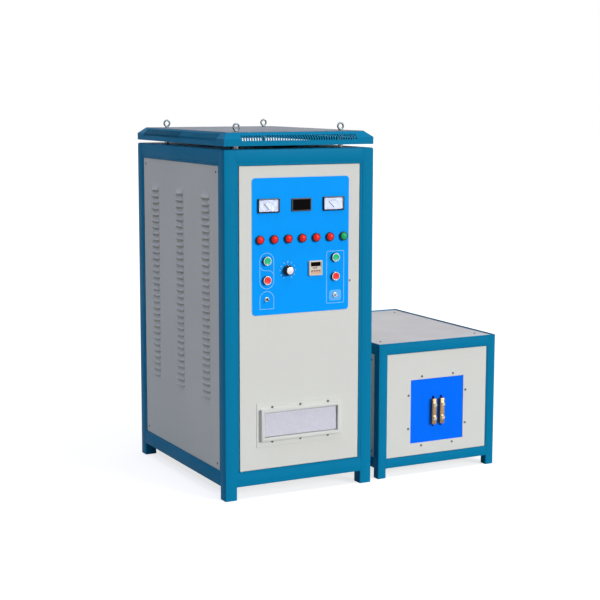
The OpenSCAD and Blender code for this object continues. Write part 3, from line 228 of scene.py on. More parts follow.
def mix_colour(tree, factor, a, b):
    """Mixes two colours; each is a socket or a plain colour."""
    node = tree.nodes.new("ShaderNodeMix")
    node.data_type = "RGBA"
    for value, index in ((factor, 0), (a, 6), (b, 7)):
        feed(tree, value, node.inputs[index])
    return node.outputs[2]


def math_node(tree, operation, a, b):
    """One step of arithmetic on sockets or numbers."""
    node = tree.nodes.new("ShaderNodeMath")
    node.operation = operation
    feed(tree, a, node.inputs[0])
    feed(tree, b, node.inputs[1])
    return node.outputs[0]


def noise(tree, scale, detail=3.0, rough=0.55, stretch=None):
    """Noise on Object coordinates, stretched along an axis if asked."""
    place = tree.nodes.new("ShaderNodeTexCoord").outputs["Object"]
    if stretch:
        mapping = tree.nodes.new("ShaderNodeMapping")
        mapping.inputs["Scale"].default_value = stretch
        tree.links.new(place, mapping.inputs["Vector"])
        place = mapping.outputs["Vector"]
    node = tree.nodes.new("ShaderNodeTexNoise")
    node.inputs["Detail"].default_value = detail
    node.inputs["Roughness"].default_value = rough
    feed(tree, scale, node.inputs["Scale"])
    tree.links.new(place, node.inputs["Vector"])
    return node.outputs["Fac"]


def span(tree, value, low, high, to_low=0.0, to_high=1.0):
    """Maps a value from low..high to to_low..to_high, held at both ends."""
    node = tree.nodes.new("ShaderNodeMapRange")
    for key, number in (("From Min", low), ("From Max", high), ("To Min", to_low), ("To Max", to_high)):
        feed(tree, number, node.inputs[key])
    tree.links.new(value, node.inputs["Value"])
    return node.outputs["Result"]


def group_ports(tree):
    """The sockets inside a node group: what it is given and what it puts out."""
    return tree.nodes.new("NodeGroupInput").outputs, tree.nodes.new("NodeGroupOutput").inputs


def make_edge_group():
    """Edge mask: how far a rounded normal differs from the face's own; also that rounded normal."""
    tree = new_group("edge_mask", [("Radius", "NodeSocketFloat", 0.0012)],
                     [("Edge", "NodeSocketFloat"), ("Normal", "NodeSocketVector")])
    given, out = group_ports(tree)
    bevel = tree.nodes.new("ShaderNodeBevel")
    bevel.samples = 4
    tree.links.new(given["Radius"], bevel.inputs["Radius"])
    geometry = tree.nodes.new("ShaderNodeNewGeometry")
    dot = tree.nodes.new("ShaderNodeVectorMath")
    dot.operation = "DOT_PRODUCT"
    tree.links.new(bevel.outputs["Normal"], dot.inputs[0])
    tree.links.new(geometry.outputs["Normal"], dot.inputs[1])
    tree.links.new(span(tree, dot.outputs["Value"], 0.995, 0.80), out["Edge"])
    tree.links.new(bevel.outputs["Normal"], out["Normal"])
    return tree


def make_mottle_group():
    """Cloudy change of a colour at two scales, for paint, plastic and metal."""
    inputs = [("Color", "NodeSocketColor", (0.5, 0.5, 0.5, 1)), ("Dark", "NodeSocketFloat", 0.9),
              ("Scale", "NodeSocketFloat", 6.0)]
    tree = new_group("mottle", inputs, [("Color", "NodeSocketColor"), ("Mask", "NodeSocketFloat")])
    given, out = group_ports(tree)
    cloud = noise(tree, given["Scale"], 4.0)
    fine = noise(tree, math_node(tree, "MULTIPLY", given["Scale"], 14.0), 2.0)
    coarse_part = math_node(tree, "MULTIPLY", cloud, 0.7)
    fine_part = math_node(tree, "MULTIPLY", fine, 0.3)
    mask = span(tree, math_node(tree, "ADD", coarse_part, fine_part), 0.35, 0.65)
    factor = span(tree, mask, 0.0, 1.0, given["Dark"], 1.0)
    scaled = tree.nodes.new("ShaderNodeVectorMath")
    scaled.operation = "SCALE"
    tree.links.new(given["Color"], scaled.inputs[0])
    tree.links.new(factor, scaled.inputs["Scale"])
    tree.links.new(scaled.outputs["Vector"], out["Color"])
    tree.links.new(mask, out["Mask"])
    return tree


def make_peel_group():
    """Orange peel of sprayed paint: two fine noises as one height."""
    tree = new_group("orange_peel", [("Scale", "NodeSocketFloat", 260.0)],
                     [("Height", "NodeSocketFloat")])
    given, out = group_ports(tree)
    coarse = noise(tree, given["Scale"], 2.0)
    fine = noise(tree, math_node(tree, "MULTIPLY", given["Scale"], 3.1), 1.0)
    tree.links.new(math_node(tree, "ADD", coarse, math_node(tree, "MULTIPLY", fine, 0.4)), out["Height"])
    return tree


def make_grain_group():
    """Fine lines along one direction, for brushed, rolled or drawn metal."""
    tree = new_group("grain", [("Scale", "NodeSocketFloat", 40.0)], [("Lines", "NodeSocketFloat")])
    given, out = group_ports(tree)
    tree.links.new(noise(tree, given["Scale"], 3.0, 0.7, (1.0, 1.0, 26.0)), out["Lines"])
    return tree


EDGE, MOTTLE, PEEL, GRAIN = make_edge_group(), make_mottle_group(), make_peel_group(), make_grain_group()


def group(tree, node_tree, **values):
    """Places a node group in a tree with each named input set or linked; returns its outputs."""
    node = tree.nodes.new("ShaderNodeGroup")
    node.node_tree = node_tree
    for key, value in values.items():
        feed(tree, value, node.inputs[key])
    return node.outputs


# materials, with the radius in metres over which each kind of edge is soft
PAINT_EDGE, METAL_EDGE, MOULD_EDGE = 0.0012, 0.0006, 0.0005


def srgb(r, g, b):
    """A colour read as 0..255 on screen, as linear light."""
    c = np.array([r, g, b]) / 255.0
    lin = np.where(c <= 0.04045, c / 12.92, ((c + 0.055) / 1.055) ** 2.4)
    return (float(lin[0]), float(lin[1]), float(lin[2]), 1.0)


def blank(name):
    """A material with only a Principled shader on its output."""
    mat = bpy.data.materials.new(name)
    mat.use_nodes = True
    return mat, mat.node_tree, mat.node_tree.nodes["Principled BSDF"]


def toned(colour, gain, lift):
    """A paler or darker tone of a colour: each channel x gain + lift, at most 1."""
    return tuple(min(1.0, c * gain + lift) for c in colour[:3]) + (1.0,)


def mottled(name, colour, dark, scale, edge, light, wear_and_highlight):
    """A material whose mottled colour goes over to a light one at its edges, by a share that stands for
    wear and a painted highlight.
    """
    mat, tree, shader = blank(name)
    mottle = group(tree, MOTTLE, Color=colour, Dark=dark, Scale=scale)
    rim = group(tree, EDGE, Radius=edge)
    wear_and_highlight_share = math_node(tree, "MULTIPLY", rim["Edge"], wear_and_highlight)
    tree.links.new(mix_colour(tree, wear_and_highlight_share, mottle["Color"], light), shader.inputs["Base Color"])
    return mat, tree, shader, mottle["Mask"], rim["Normal"]


def bumped(tree, shader, height, strength, distance, normal=None):
    """Puts a height on the shader as a bump, over a rounded normal if there is one."""
    bump = tree.nodes.new("ShaderNodeBump")
    bump.inputs["Strength"].default_value = strength
    bump.inputs["Distance"].default_value = distance
    tree.links.new(height, bump.inputs["Height"])
    if normal:
        tree.links.new(normal, bump.inputs["Normal"])
    tree.links.new(bump.outputs["Normal"], shader.inputs["Normal"])


def painted(name, colour, rough, dark=0.93, scale=5.0, wear_and_highlight=None, peel=0.06, shine=0.2):
    """Sprayed paint or powder coat: mottled colour, orange peel, soft edges lightened as wear and as a
    painted highlight.
    """
    light = wear_and_highlight or toned(colour, 1.5, 0.03)
    mat, tree, shader, mask, normal = mottled(name, colour, dark, scale, PAINT_EDGE, light, 0.35)
    roughness = span(tree, mask, 0.0, 1.0, rough + 0.08, rough - 0.04)
    tree.links.new(roughness, shader.inputs["Roughness"])
    bumped(tree, shader, group(tree, PEEL)["Height"], peel, 0.0004, normal)
    shader.inputs["Specular IOR Level"].default_value = shine
    return mat


def hood_paint_with_painted_shade(name, colour, inside, rough, shine):
    """The frame's paint outside; painted shade, a dark colour, on faces turned towards the hood's middle or
    down.
    """
    mat = painted(name, colour, rough, dark=0.95, shine=shine)
    tree, base = mat.node_tree, mat.node_tree.nodes["Principled BSDF"].inputs["Base Color"]
    geometry = tree.nodes.new("ShaderNodeNewGeometry")
    place = tree.nodes.new("ShaderNodeTexCoord").outputs["Object"]
    away = tree.nodes.new("ShaderNodeVectorMath")
    away.operation = "SUBTRACT"
    middle = np.array([MAIN_W / 2 - MID_X, MAIN_D / 2 - MID_Y, MAIN_H - HOOD_DROP]) * MM
    away.inputs[1].default_value = middle.tolist()
    tree.links.new(place, away.inputs[0])
    dot = tree.nodes.new("ShaderNodeVectorMath")
    dot.operation = "DOT_PRODUCT"
    tree.links.new(away.outputs["Vector"], dot.inputs[0])
    tree.links.new(geometry.outputs["True Normal"], dot.inputs[1])
    # inner and downward faces take the dark colour: painted shade inside the hood
    outer = span(tree, dot.outputs["Value"], 0.0, 0.004)
    tree.links.new(mix_colour(tree, outer, inside, base.links[0].from_socket), base)
    return mat


def metal(name, colour, rough, dark=0.8, lines=0.25, scale=40.0):
    """Bare or plated metal: mottled colour, fine lines in roughness and bump, bright edges."""
    light = toned(colour, 1.25, 0.04)
    mat, tree, shader, _, normal = mottled(name, colour, dark, 14.0, METAL_EDGE, light, 0.6)
    grain = group(tree, GRAIN, Scale=scale)["Lines"]
    tree.links.new(span(tree, grain, 0.2, 0.8, rough - 0.06, rough + 0.1), shader.inputs["Roughness"])
    bumped(tree, shader, grain, lines, 0.0001, normal)
    shader.inputs["Metallic"].default_value = 1.0
    return mat


def plastic(name, colour, rough, dark=0.9, glow=0.0, grit=0.12, shine=0.3):
    """Moulded plastic: even colour with faint clouds, a fine moulded grit and soft edges."""
    light = toned(colour, 1.6, 0.02)
    mat, tree, shader, mask, normal = mottled(name, colour, dark, 22.0, MOULD_EDGE, light, 0.3)
    roughness = span(tree, mask, 0.0, 1.0, rough + 0.06, rough - 0.05)
    tree.links.new(roughness, shader.inputs["Roughness"])
    bumped(tree, shader, group(tree, PEEL, Scale=900.0)["Height"], grit, 0.0001, normal)
    shader.inputs["Emission Color"].default_value = colour
    shader.inputs["Emission Strength"].default_value = glow
    shader.inputs["Specular IOR Level"].default_value = shine
    return mat


def felt(name, colour):
    """Non-woven filter mat: tangled fibres from stretched noises crossing each other."""
    mat, tree, shader = blank(name)
    one = noise(tree, 90.0, 5.0, 0.7, (1.0, 1.0, 6.0))
    two = noise(tree, 90.0, 5.0, 0.7, (6.0, 1.0, 1.0))
    fibres = math_node(tree, "MAXIMUM", one, two)
    shade = mix_colour(tree, span(tree, fibres, 0.42, 0.66), toned(colour, 0.86, 0.0), colour)
    tree.links.new(shade, shader.inputs["Base Color"])
    bumped(tree, shader, fibres, 0.6, 0.0008)
    tree.links.new(span(tree, fibres, 0.3, 0.8, 0.95, 0.8), shader.inputs["Roughness"])
    shader.inputs["Sheen Weight"].default_value = 0.2
    return mat


def clear(name, tint):
    """Clear window: thin gloss that lets the dial show, with faint smudges."""
    mat, tree, shader = blank(name)
    shader.inputs["Base Color"].default_value = tint
    shader.inputs["Transmission Weight"].default_value = 1.0
    shader.inputs["IOR"].default_value = 1.2
    shader.inputs["Specular IOR Level"].default_value = 0.15
    tree.links.new(span(tree, noise(tree, 30.0, 4.0), 0.4, 0.7, 0.02, 0.10), shader.inputs["Roughness"])
    return mat


LOOK = {
    "teal": painted("teal_enamel", srgb(9, 123, 165), 0.36, dark=0.95, shine=0.02),
    # the hood: teal enamel outside and painted shade on its inner faces
    "hood": hood_paint_with_painted_shade("hood_enamel_and_painted_shade", srgb(9, 123, 165), srgb(10, 18, 22), 0.36, 0.02),
    "grey": painted("light_grey_coat", srgb(215, 215, 209), 0.50, dark=0.97, scale=3.0,
                    wear_and_highlight=srgb(238, 237, 232), shine=0.1),
    "top_grey": painted("top_grey_coat", srgb(204, 203, 208), 0.42, dark=0.95, scale=9.0,
                        wear_and_highlight=srgb(230, 230, 232)),
    # the hood's top plate: a darker grey than the panels' coat, a painted reflection of dark surroundings
    # at a grazing angle
    "hood_top_reflection_grey": painted("hood_top_coat_painted_reflection", srgb(112, 119, 131), 0.42, dark=0.93, scale=9.0, shine=0.1),
    # the bolts' brass is a paler copy of the bars' brass, a painted highlight on the bolt heads
    "bolt": metal("terminal_bolt_brass_painted_highlight", srgb(198, 180, 144), 0.3, dark=0.6),
    "toggle": metal("toggle_plating", srgb(120, 108, 98), 0.3, dark=0.6),
    "galvanised": metal("galvanised_sheet", srgb(150, 152, 156), 0.42, dark=0.7, scale=12.0),
    "zinc": metal("zinc_plated", srgb(186, 187, 188), 0.30, dark=0.8),
    "screw": metal("screw_steel", srgb(112, 112, 112), 0.38, dark=0.75),
    "eye": metal("lifting_eye_plating", srgb(112, 124, 130), 0.24, dark=0.7),
    "nickel": metal("satin_nickel", srgb(208, 208, 212), 0.22, dark=0.9, lines=0.1),
    "brass": metal("milled_brass", srgb(158, 130, 100), 0.42, dark=0.55, scale=60.0),
    "copper": metal("copper_plate", srgb(190, 116, 78), 0.34, dark=0.75),
    "aluminium": metal("satin_aluminium", srgb(196, 198, 202), 0.38, dark=0.88),
    # the film's pale edge colour is a painted highlight, a light halo along its edges
    "blue": painted("overlay_film", srgb(4, 158, 255), 0.40, dark=0.98, scale=3.0,
                    wear_and_highlight=srgb(215, 240, 255), peel=0.02, shine=0.03),
    "cyan_print": plastic("pale_cyan_print", srgb(150, 212, 255), 0.4, dark=0.97),
    "patch": plastic("pale_patch", srgb(84, 180, 250), 0.4, dark=0.9),
    "white_print": plastic("white_print", srgb(232, 242, 250), 0.4, dark=0.98),
    "board": painted("blue_laminate", srgb(0, 112, 255), 0.42, dark=0.95, scale=8.0,
                     wear_and_highlight=srgb(90, 170, 255), peel=0.12, shine=0.03),
    "black": plastic("black_moulding", srgb(20, 21, 24), 0.42),
    "gloss": plastic("black_gloss", srgb(10, 12, 18), 0.20, grit=0.03),
    "display_frame": plastic("display_frame", srgb(66, 62, 66), 0.4),
    "window_dark": plastic("dark_window", srgb(7, 4, 5), 0.3, grit=0.0, shine=0.02),
    "dial": plastic("dial_white", srgb(208, 213, 232), 0.5, dark=0.98, grit=0.03),
    "ink": plastic("dial_ink", srgb(30, 30, 40), 0.5),
    "red_lens": plastic("red_lens", srgb(244, 22, 14), 0.16, dark=0.85, grit=0.0, shine=0.2, glow=0.06),
    "green_lens": plastic("green_lens", srgb(4, 176, 104), 0.16, dark=0.9, grit=0.0, shine=0.2,
                          glow=0.03),
    "red_cap": plastic("red_cap", srgb(252, 44, 40), 0.26, grit=0.05),
    "green_cap": plastic("green_cap", srgb(8, 194, 130), 0.26, grit=0.05),
    "cream": plastic("timer_cream", srgb(214, 208, 192), 0.36),
    "peach": plastic("timer_plate", srgb(222, 176, 146), 0.42),
    "key": plastic("timer_key", srgb(140, 70, 60), 0.45),
    "felt": felt("filter_felt", srgb(212, 210, 222)),
    "glass": clear("meter_window", (0.95, 0.97, 1.0, 1.0)),
    "iron": painted("varnished_iron", srgb(74, 72, 74), 0.4, dark=0.7, scale=30.0),
    "circuit": plastic("circuit_board", srgb(18, 96, 54), 0.3, dark=0.7),
    "lever": plastic("lever_cream", srgb(216, 208, 188), 0.4),
}

# which look each node taken over from the frame has
FINISH = {
    "teal": ["frame_ledges", "closing_sheets"], "hood": ["hood_shell"],
    "grey": ["front_door", "rear_panels", "station_front_panel"],
    "top_grey": ["station_top_plate"], "hood_top_reflection_grey": ["hood_top_plate"],
    "blue": ["control_overlay"], "board": ["insulating_board"],
    "galvanised": ["mounting_plate"], "eye": ["lifting_eyes"],
    "zinc": ["hood_spacers", "hinge_pins"], "screw": ["door_lock"],
    "nickel": ["control_bodies", "toggle_lever_right"], "toggle": ["toggle_lever_left"],
    "black": ["fan_frame", "fan_rotor", "breaker_case"],
    "lever": ["breaker_lever"], "copper": ["cooling_plates"],
    "circuit": ["control_board"], "ink": ["meter_needle_left", "meter_needle_right"],
    "key": ["timer_key_1", "timer_key_2", "timer_key_3", "timer_key_4"],
}
for finish, names in FINISH.items():
    for cad_name in names:
        nodes[cad_name].data.materials.clear()
        nodes[cad_name].data.materials.append(LOOK[finish])


# frames of square tube
TUBE_R, TUBE_BREAK, FOOT_OPEN, SHY = 0.9, 0.8, 30.0, 0.02


def tube_frame(w, d, top, leg, side, x0, y0):
    """Four upright tubes, open at the foot, and eight level ones between them, all with rounded edges."""
    half, bore, skin = side / 2, side / 2 - TUBE_WALL, side / 2 - SHY
    upright = stepped([(bore, bore, TUBE_R / 2, FOOT_OPEN), (bore, bore, TUBE_R / 2, 0.0),
                       (half, half, TUBE_R, 0.0), (half, half, TUBE_R, top - TUBE_BREAK),
                       (half - TUBE_BREAK, half - TUBE_BREAK, TUBE_R, top)])
    wide = stepped([(skin, skin, TUBE_R, level) for level in (0.0, w - 2 * side)])
    deep = stepped([(skin, skin, TUBE_R, level) for level in (0.0, d - 2 * side)])
    xs, ys = (half, w - half), (half, d - half)
    shells = [placed(upright, (x0 + x, y0 + y, 0.0), RIGHT, BACK) for x in xs for y in ys]
    for z in (leg + half, top - half):
        shells += [placed(wide, (x0 + side, y0 + y, z), BACK, UP) for y in ys]
        shells += [placed(deep, (x0 + x, y0 + side, z), UP, RIGHT) for x in xs]
    return shells


main_tubes = tube_frame(MAIN_W, MAIN_D, MAIN_H, LEG_H, TUBE, 0.0, 0.0)
station_tubes = tube_frame(STATION_W, STATION_D, STATION_H - RIM, STATION_LEG, STATION_TUBE,
                           STATION_X, STATION_Y)
piece("cabinet_tubes", main_tubes, "cabinets", LOOK["teal"], ["main_posts", "main_rails"])
piece("station_tubes", station_tubes, "cabinets", LOOK["teal"],
      ["station_posts", "station_rails"])

# louvred panels
LOUVRE_SHEET, LOUVRE_COLS = 1.2, 9
LOUVRE_LEVEL_SHARES = (0.0, 0.16, 0.32, 0.48, 0.62, 0.70, 1.0)
OPEN_W, OPEN_D = MAIN_W - 2 * TUBE, MAIN_D - 2 * TUBE
OPEN_H, SILL = MAIN_H - 2 * TUBE - LEG_H, LEG_H + TUBE
STATION_OPEN_W, STATION_OPEN_D = STATION_W - 2 * STATION_TUBE, STATION_D - 2 * STATION_TUBE
STATION_OPEN_H = STATION_H - RIM - 2 * STATION_TUBE - STATION_LEG
STATION_SILL = STATION_LEG + STATION_TUBE
STATION_LOUVRES = int((STATION_OPEN_H - 3 * TAB) / LOUVRE_PITCH)
STATION_LOUVRE_LOW = (STATION_OPEN_H - STATION_LOUVRES * LOUVRE_PITCH) / 2


def panel_starts(x0, y0, w, d, side, sill):
    """Where the left, right and back openings of a cabinet start, each with the axis along its panel."""
    return [((x0 + RECESS, y0 + d - side, sill), FRONT), ((x0 + w - RECESS, y0 + side, sill), BACK),
            ((x0 + w - side, y0 + d - RECESS, sill), LEFT)]


def pierced_sheet(w, h, edge, columns, low, high):
    """A flat sheet as a grid of cells between its edges and its windows, without the windows' cells."""
    window_sides = [c + side * LOUVRE_W / 2 for c in columns for side in (-1, 1)]
    xs, zs = np.array([edge, *window_sides, w - edge]), np.array([edge, low, high, h - edge])
    x, z = np.meshgrid(xs, zs)
    verts = np.column_stack([x.ravel(), z.ravel(), np.zeros(x.size)])
    f = quads(len(zs), len(xs), wrap=False)
    column, row = f[:, 0] % len(xs), f[:, 0] // len(xs)
    return verts, [f[(row != 1) | (column % 2 == 0)]]


def louvre(x, z):
    """One louvre and the land above it: out = depth x (1 - v / height)^1.3 x (1 - s^8)^0.5 across."""
    s, t = np.meshgrid(np.linspace(-1, 1, LOUVRE_COLS), LOUVRE_LEVEL_SHARES)
    v = t * LOUVRE_PITCH
    out = LOUVRE_OUT * np.clip(1 - v / LOUVRE_H, 0, 1) ** 1.3 * np.clip(1 - np.abs(s) ** 8, 0, 1) ** 0.5
    verts = np.column_stack([(x + s * LOUVRE_W / 2).ravel(), (z + v).ravel(), out.ravel()])
    return verts, [quads(*s.shape, wrap=False)]


def louvre_columns(w, h, edge, pitch, count, low):
    """The panel's sheet and all its louvres."""
    columns = [w / 2 + k * pitch for k in (-1, 0, 1)]
    sheet = pierced_sheet(w, h, edge, columns, low, low + count * LOUVRE_PITCH)
    return [sheet] + [louvre(c, low + k * LOUVRE_PITCH) for c in columns for k in range(count)]


def louvre_panel(name, shells, starts, replaced):
    """One piece with the same louvred sheet at each start, given its thickness."""
    sheets = [placed(s, at, along) for at, along in starts for s in shells]
    solidified(piece(name, sheets, "cabinets", LOOK["grey"], [replaced]), LOUVRE_SHEET)


main_starts = panel_starts(0.0, 0.0, MAIN_W, MAIN_D, TUBE, SILL)
station_starts = panel_starts(STATION_X, STATION_Y, STATION_W, STATION_D, STATION_TUBE, STATION_SILL)
main_shells = louvre_columns(OPEN_D, OPEN_H, LEDGE + PANEL_GAP, COLUMN_PITCH, LOUVRES, LOUVRE_LOW)
station_pitch = COLUMN_PITCH * STATION_OPEN_D / OPEN_D
station_shells = louvre_columns(STATION_OPEN_D, STATION_OPEN_H, STATION_LEDGE + PANEL_GAP, station_pitch,
                                STATION_LOUVRES, STATION_LOUVRE_LOW)
louvre_panel("left_louvre_panel", main_shells, main_starts[:1], "left_panel")
louvre_panel("right_louvre_panel", main_shells, main_starts[1:2], "right_panel")
louvre_panel("station_louvre_panels", station_shells, station_starts[:2], "station_side_panels")

# panel screws
HEAD_R, HEAD_H, HEAD_SUNK = 4.0, 2.2, 0.2
HEAD_SHARES = (1.0, 0.985, 0.9, 0.72, 0.5, 0.3, 0.12)
CROSS_ARM_SHARE, CROSS_REACH_SHARE, CROSS_DEEP_SHARE = 0.16, 0.6, 0.55
WINDOW_SCREWS = ((63.0, 121.0), (116.0, 58.0))
TOP_SCREW_IN_X, TOP_SCREW_IN_Y = 42.0, 64.0


def pan_head(r, h, n=24):
    """Pan head: at share q of the radius, level = h x (1 - 0.75 q^4)^0.5, less the recess in its cross."""
    a = np.arange(n) * 2 * np.pi / n
    q = np.array(HEAD_SHARES)[:, None]
    x, y = q * r * np.cos(a), q * r * np.sin(a)
    cross = (np.minimum(np.abs(x), np.abs(y)) < CROSS_ARM_SHARE * r) & (q < CROSS_REACH_SHARE)
    level = h * np.sqrt(1 - 0.75 * q ** 4) - CROSS_DEEP_SHARE * h * cross
    foot = np.column_stack([x[0], y[0], np.full(n, -HEAD_SUNK)])
    dome = np.stack([x, y, level], 2).reshape(-1, 3)
    return capped(np.concatenate([foot, dome]), len(q) + 1, n)


def corner_heads(starts, w, h, edge):
    """A pan head at the four corners of the panel at each start."""
    inset = edge + SCREW_IN
    places = [(x, z) for x in (inset, w - inset) for z in (inset, h - inset)]
    return [placed(head, np.array(at) + x * np.array(along) + (0, 0, z), along)
            for at, along in starts for x, z in places]


head = pan_head(HEAD_R, HEAD_H)
heads = corner_heads(main_starts[:2], OPEN_D, OPEN_H, LEDGE)
heads += corner_heads(main_starts[2:], OPEN_W, OPEN_H, LEDGE)
heads += corner_heads(station_starts[:2], STATION_OPEN_D, STATION_OPEN_H, STATION_LEDGE)
heads += corner_heads(station_starts[2:], STATION_OPEN_W, STATION_OPEN_H, STATION_LEDGE)
station_mid, station_mid_y = STATION_X + STATION_W / 2, STATION_Y + STATION_D / 2
for i, j in QUARTERS:
    heads += [placed(head, (station_mid + i * dx, STATION_Y + RECESS, WINDOW_Z + j * dz))
              for dx, dz in WINDOW_SCREWS]
    at = (station_mid + i * (STATION_W / 2 - TOP_SCREW_IN_X),
          station_mid_y + j * (STATION_D / 2 - TOP_SCREW_IN_Y), STATION_H - RIM + SHEET)
    heads.append(placed(head, at, RIGHT, BACK))
piece("panel_screw_heads", heads, "cabinets", LOOK["screw"], ["panel_screws"])

# print on the overlay
FILM_SUNK, PRINT_HIGH, PRINT_W, WAVE_W = 0.1, 0.16, 1.4, 1.3
ZONE_X, ZONE_Z, ZONE_W, ZONE_H, ZONE_R = -122.9, -76.9, 24.6, 57.3, 24.5
ARCH_Z, ARCH_FOOT, WAVE_Z, WAVE_DROP = -167.1, -199.5, -76.0, 13.0
BOX_X, BOX_Z, BOX_W, BOX_H, BOX_R = 125.4, -109.7, 31.8, 85.0, 4.0
PATCH_Z, PATCH_W, PATCH_H, PATCH_R = -169.5, 22.0, 17.5, 8.0
TICKS, TICK_FIRST, TICK_STEP, TICK_AT, TICK_W, TICK_L = 11, 240, 30, 27.0, 0.5, 2.6


def printed(path, width, closed=True):
    """A printed line along a path on the overlay."""
    return on_overlay(carried(path, strip(width / 2, -FILM_SUNK, PRINT_HIGH), closed), 0, 0)


def spoke(shell, angle, radius):
    """An upright shell turned about the axis to point along an angle, and moved out to a radius."""
    c, s = math.cos(math.radians(angle)), math.sin(math.radians(angle))
    verts = shell[0].copy()
    verts[:, :2] = verts[:, :2] @ [[s, -c], [c, s]] + [radius * c, radius * s]
    return verts, shell[1]


left_zone = ring(ZONE_W, ZONE_H, ZONE_R, 9) + [ZONE_X, ZONE_Z]
right_zone = ring(BOX_W, BOX_H, BOX_R, 5) + [BOX_X, BOX_Z]
arch_feet = [[ZONE_X - ZONE_W, ARCH_FOOT], [ZONE_X + ZONE_W, ARCH_FOOT]]
arch = np.concatenate([arc(ZONE_X, ARCH_Z, ZONE_W, 0, 180, 17), arch_feet])
run = np.linspace(-1, 1, 25)
wave = np.column_stack([ZONE_X + ZONE_W * run, WAVE_Z - WAVE_DROP * run ** 3])
outlines = [printed(path, PRINT_W) for path in (left_zone, arch, right_zone)]
outlines.append(printed(wave, WAVE_W, closed=False))
piece("overlay_lines", outlines, "door", LOOK["cyan_print"])
patch = stepped([(PATCH_W, PATCH_H, PATCH_R, level) for level in (-FILM_SUNK, FILM_SUNK)], 6)
piece("overlay_patch", [on_overlay(patch, BOX_X, PATCH_Z)], "door", LOOK["patch"])
tick = stepped([(TICK_W, TICK_L, 0.1, level) for level in (-FILM_SUNK, PRINT_HIGH)], 2)
ticks = [on_overlay(spoke(tick, TICK_FIRST - k * TICK_STEP, TICK_AT), KNOB_X, KNOB_Z) for k in range(TICKS)]
piece("knob_scale", ticks, "door", LOOK["white_print"])

# meters and display: each ring is (half width, half height, corner radius, level)
METER_CASE = [(31, 17, 1, -38), (31, 17, 1, 0), (38.5, 22.5, 2.5, 0), (38.5, 22.5, 2.5, 4.6),
              (38.1, 22.1, 2.2, 5.6), (37.2, 21.2, 1.8, 6), (35.4, 19.4, 1, 6), (35, 19, 0.8, 5.6),
              (35, 19, 0.6, 0.5)]
METER_DIAL = [(34.6, 18.6, 0.4, 0.6), (34.6, 18.6, 0.4, 1.62)]
METER_PANE = [(34.8, 18.8, 1, 4.2), (34.8, 18.8, 1, 5.4)]
DISPLAY_CASE = [(29, 17, 1, -45), (29, 17, 1, 0), (35.5, 21.0, 2.2, 0), (35.5, 21.0, 2.2, 3.0),
                (35.0, 20.5, 1.8, 3.8), (34.2, 19.7, 1.4, 4.0), (32.2, 17.6, 1, 4.0),
                (31.6, 17.1, 0.6, 3.6), (31.6, 17.1, 0.6, 1.6)]
DISPLAY_PANE = [(31.3, 16.8, 1, 1.7), (31.3, 16.8, 1, 2.9)]
INK_LOW, INK_HIGH, PIVOT_Z, SWEEP_R, SWEEP_FROM, SWEEP = 1.6, 1.72, -11.0, 21.5, 135.0, 90.0
DIAL_TICKS, TICK_START, LONG_TICK, SHORT_TICK, LONG_EVERY = 21, 21.6, 3.0, 1.6, 5
SWEEP_HALF, LONG_HALF, SHORT_HALF = 0.2, 0.22, 0.13


def dial_scale():
    """An arc about the pointer's pivot with a tick each 4.5 degrees, every fifth one long and bold."""
    sweep = arc(0, PIVOT_Z, SWEEP_R, SWEEP_FROM, SWEEP_FROM - SWEEP, 25)
    shells = [carried(sweep, strip(SWEEP_HALF, INK_LOW, INK_HIGH), closed=False)]
    for i in range(DIAL_TICKS):
        a = math.radians(SWEEP_FROM - i * SWEEP / (DIAL_TICKS - 1))
        reach, half = (SHORT_TICK, SHORT_HALF) if i % LONG_EVERY else (LONG_TICK, LONG_HALF)
        path = np.outer([TICK_START, TICK_START + reach], [math.cos(a), math.sin(a)]) + [0, PIVOT_Z]
        shells.append(carried(path, strip(half, INK_LOW, INK_HIGH), closed=False))
    return shells


def at_meters(shells):
    """The same shells on both meters."""
    return [on_overlay(shell, k * METER_X, METER_Z) for k in (-1, 1) for shell in shells]


piece("meter_cases", at_meters([stepped(METER_CASE, 5)]), "door", LOOK["gloss"],
      ["instrument_cases"])
piece("meter_dials", at_meters([stepped(METER_DIAL, 2)]), "door", LOOK["dial"])
piece("meter_scales", at_meters(dial_scale()), "door", LOOK["ink"])
piece("display_case", [on_overlay(stepped(DISPLAY_CASE, 5), 0, METER_Z)], "door", LOOK["display_frame"])
piece("display_window", [on_overlay(stepped(DISPLAY_PANE), 0, METER_Z)], "door", LOOK["window_dark"],
      ["instrument_windows"])
piece("meter_windows", at_meters([stepped(METER_PANE)]), "door", LOOK["glass"])

# lamps, push buttons and knob: each turned profile is (radius, level)
LAMPS, LENS_R, LENS_LOW, LENS_RISE, LENS_ROUND_SHARE = 7, 11.8, 4.6, 7.6, 0.97
LENS_RIPPLE, LENS_RIPPLES = 0.16, 5.5
LAMP_COLLAR = [(11, -32), (11, 0), (14.5, 0), (14.5, 5.6), (14.0, 6.6), (13.3, 7.0), (12.3, 7.0),
               (12.0, 6.7), (12.0, 4.6)]
LAMP_NUT = [(10.9, -7.5), (14, -7.5), (14, -2.5), (10.9, -2.5)]
BUTTON_COLLAR = [(11, -32), (11, 0), (14.5, 0), (14.5, 7.4), (14.2, 7.8), (11.6, 7.8), (11.5, 0.8),
                 (4.3, 0.8), (4.3, -12)]
BUTTON_RIM_R = 12.7
BUTTON_RIM = [(-1.2, 7.6), (1.2, 7.6), (1.2, 8.4), (0.8, 9.0), (-0.8, 9.0), (-1.2, 8.6)]
BUTTON_CAP = [(4, -6.5), (4, 4.5), (11.0, 4.5), (11.2, 4.8), (11.2, 9.2), (10.8, 9.8), (10.2, 10.0),
              (9.4, 9.9), (6, 9.5), (0, 9.35)]
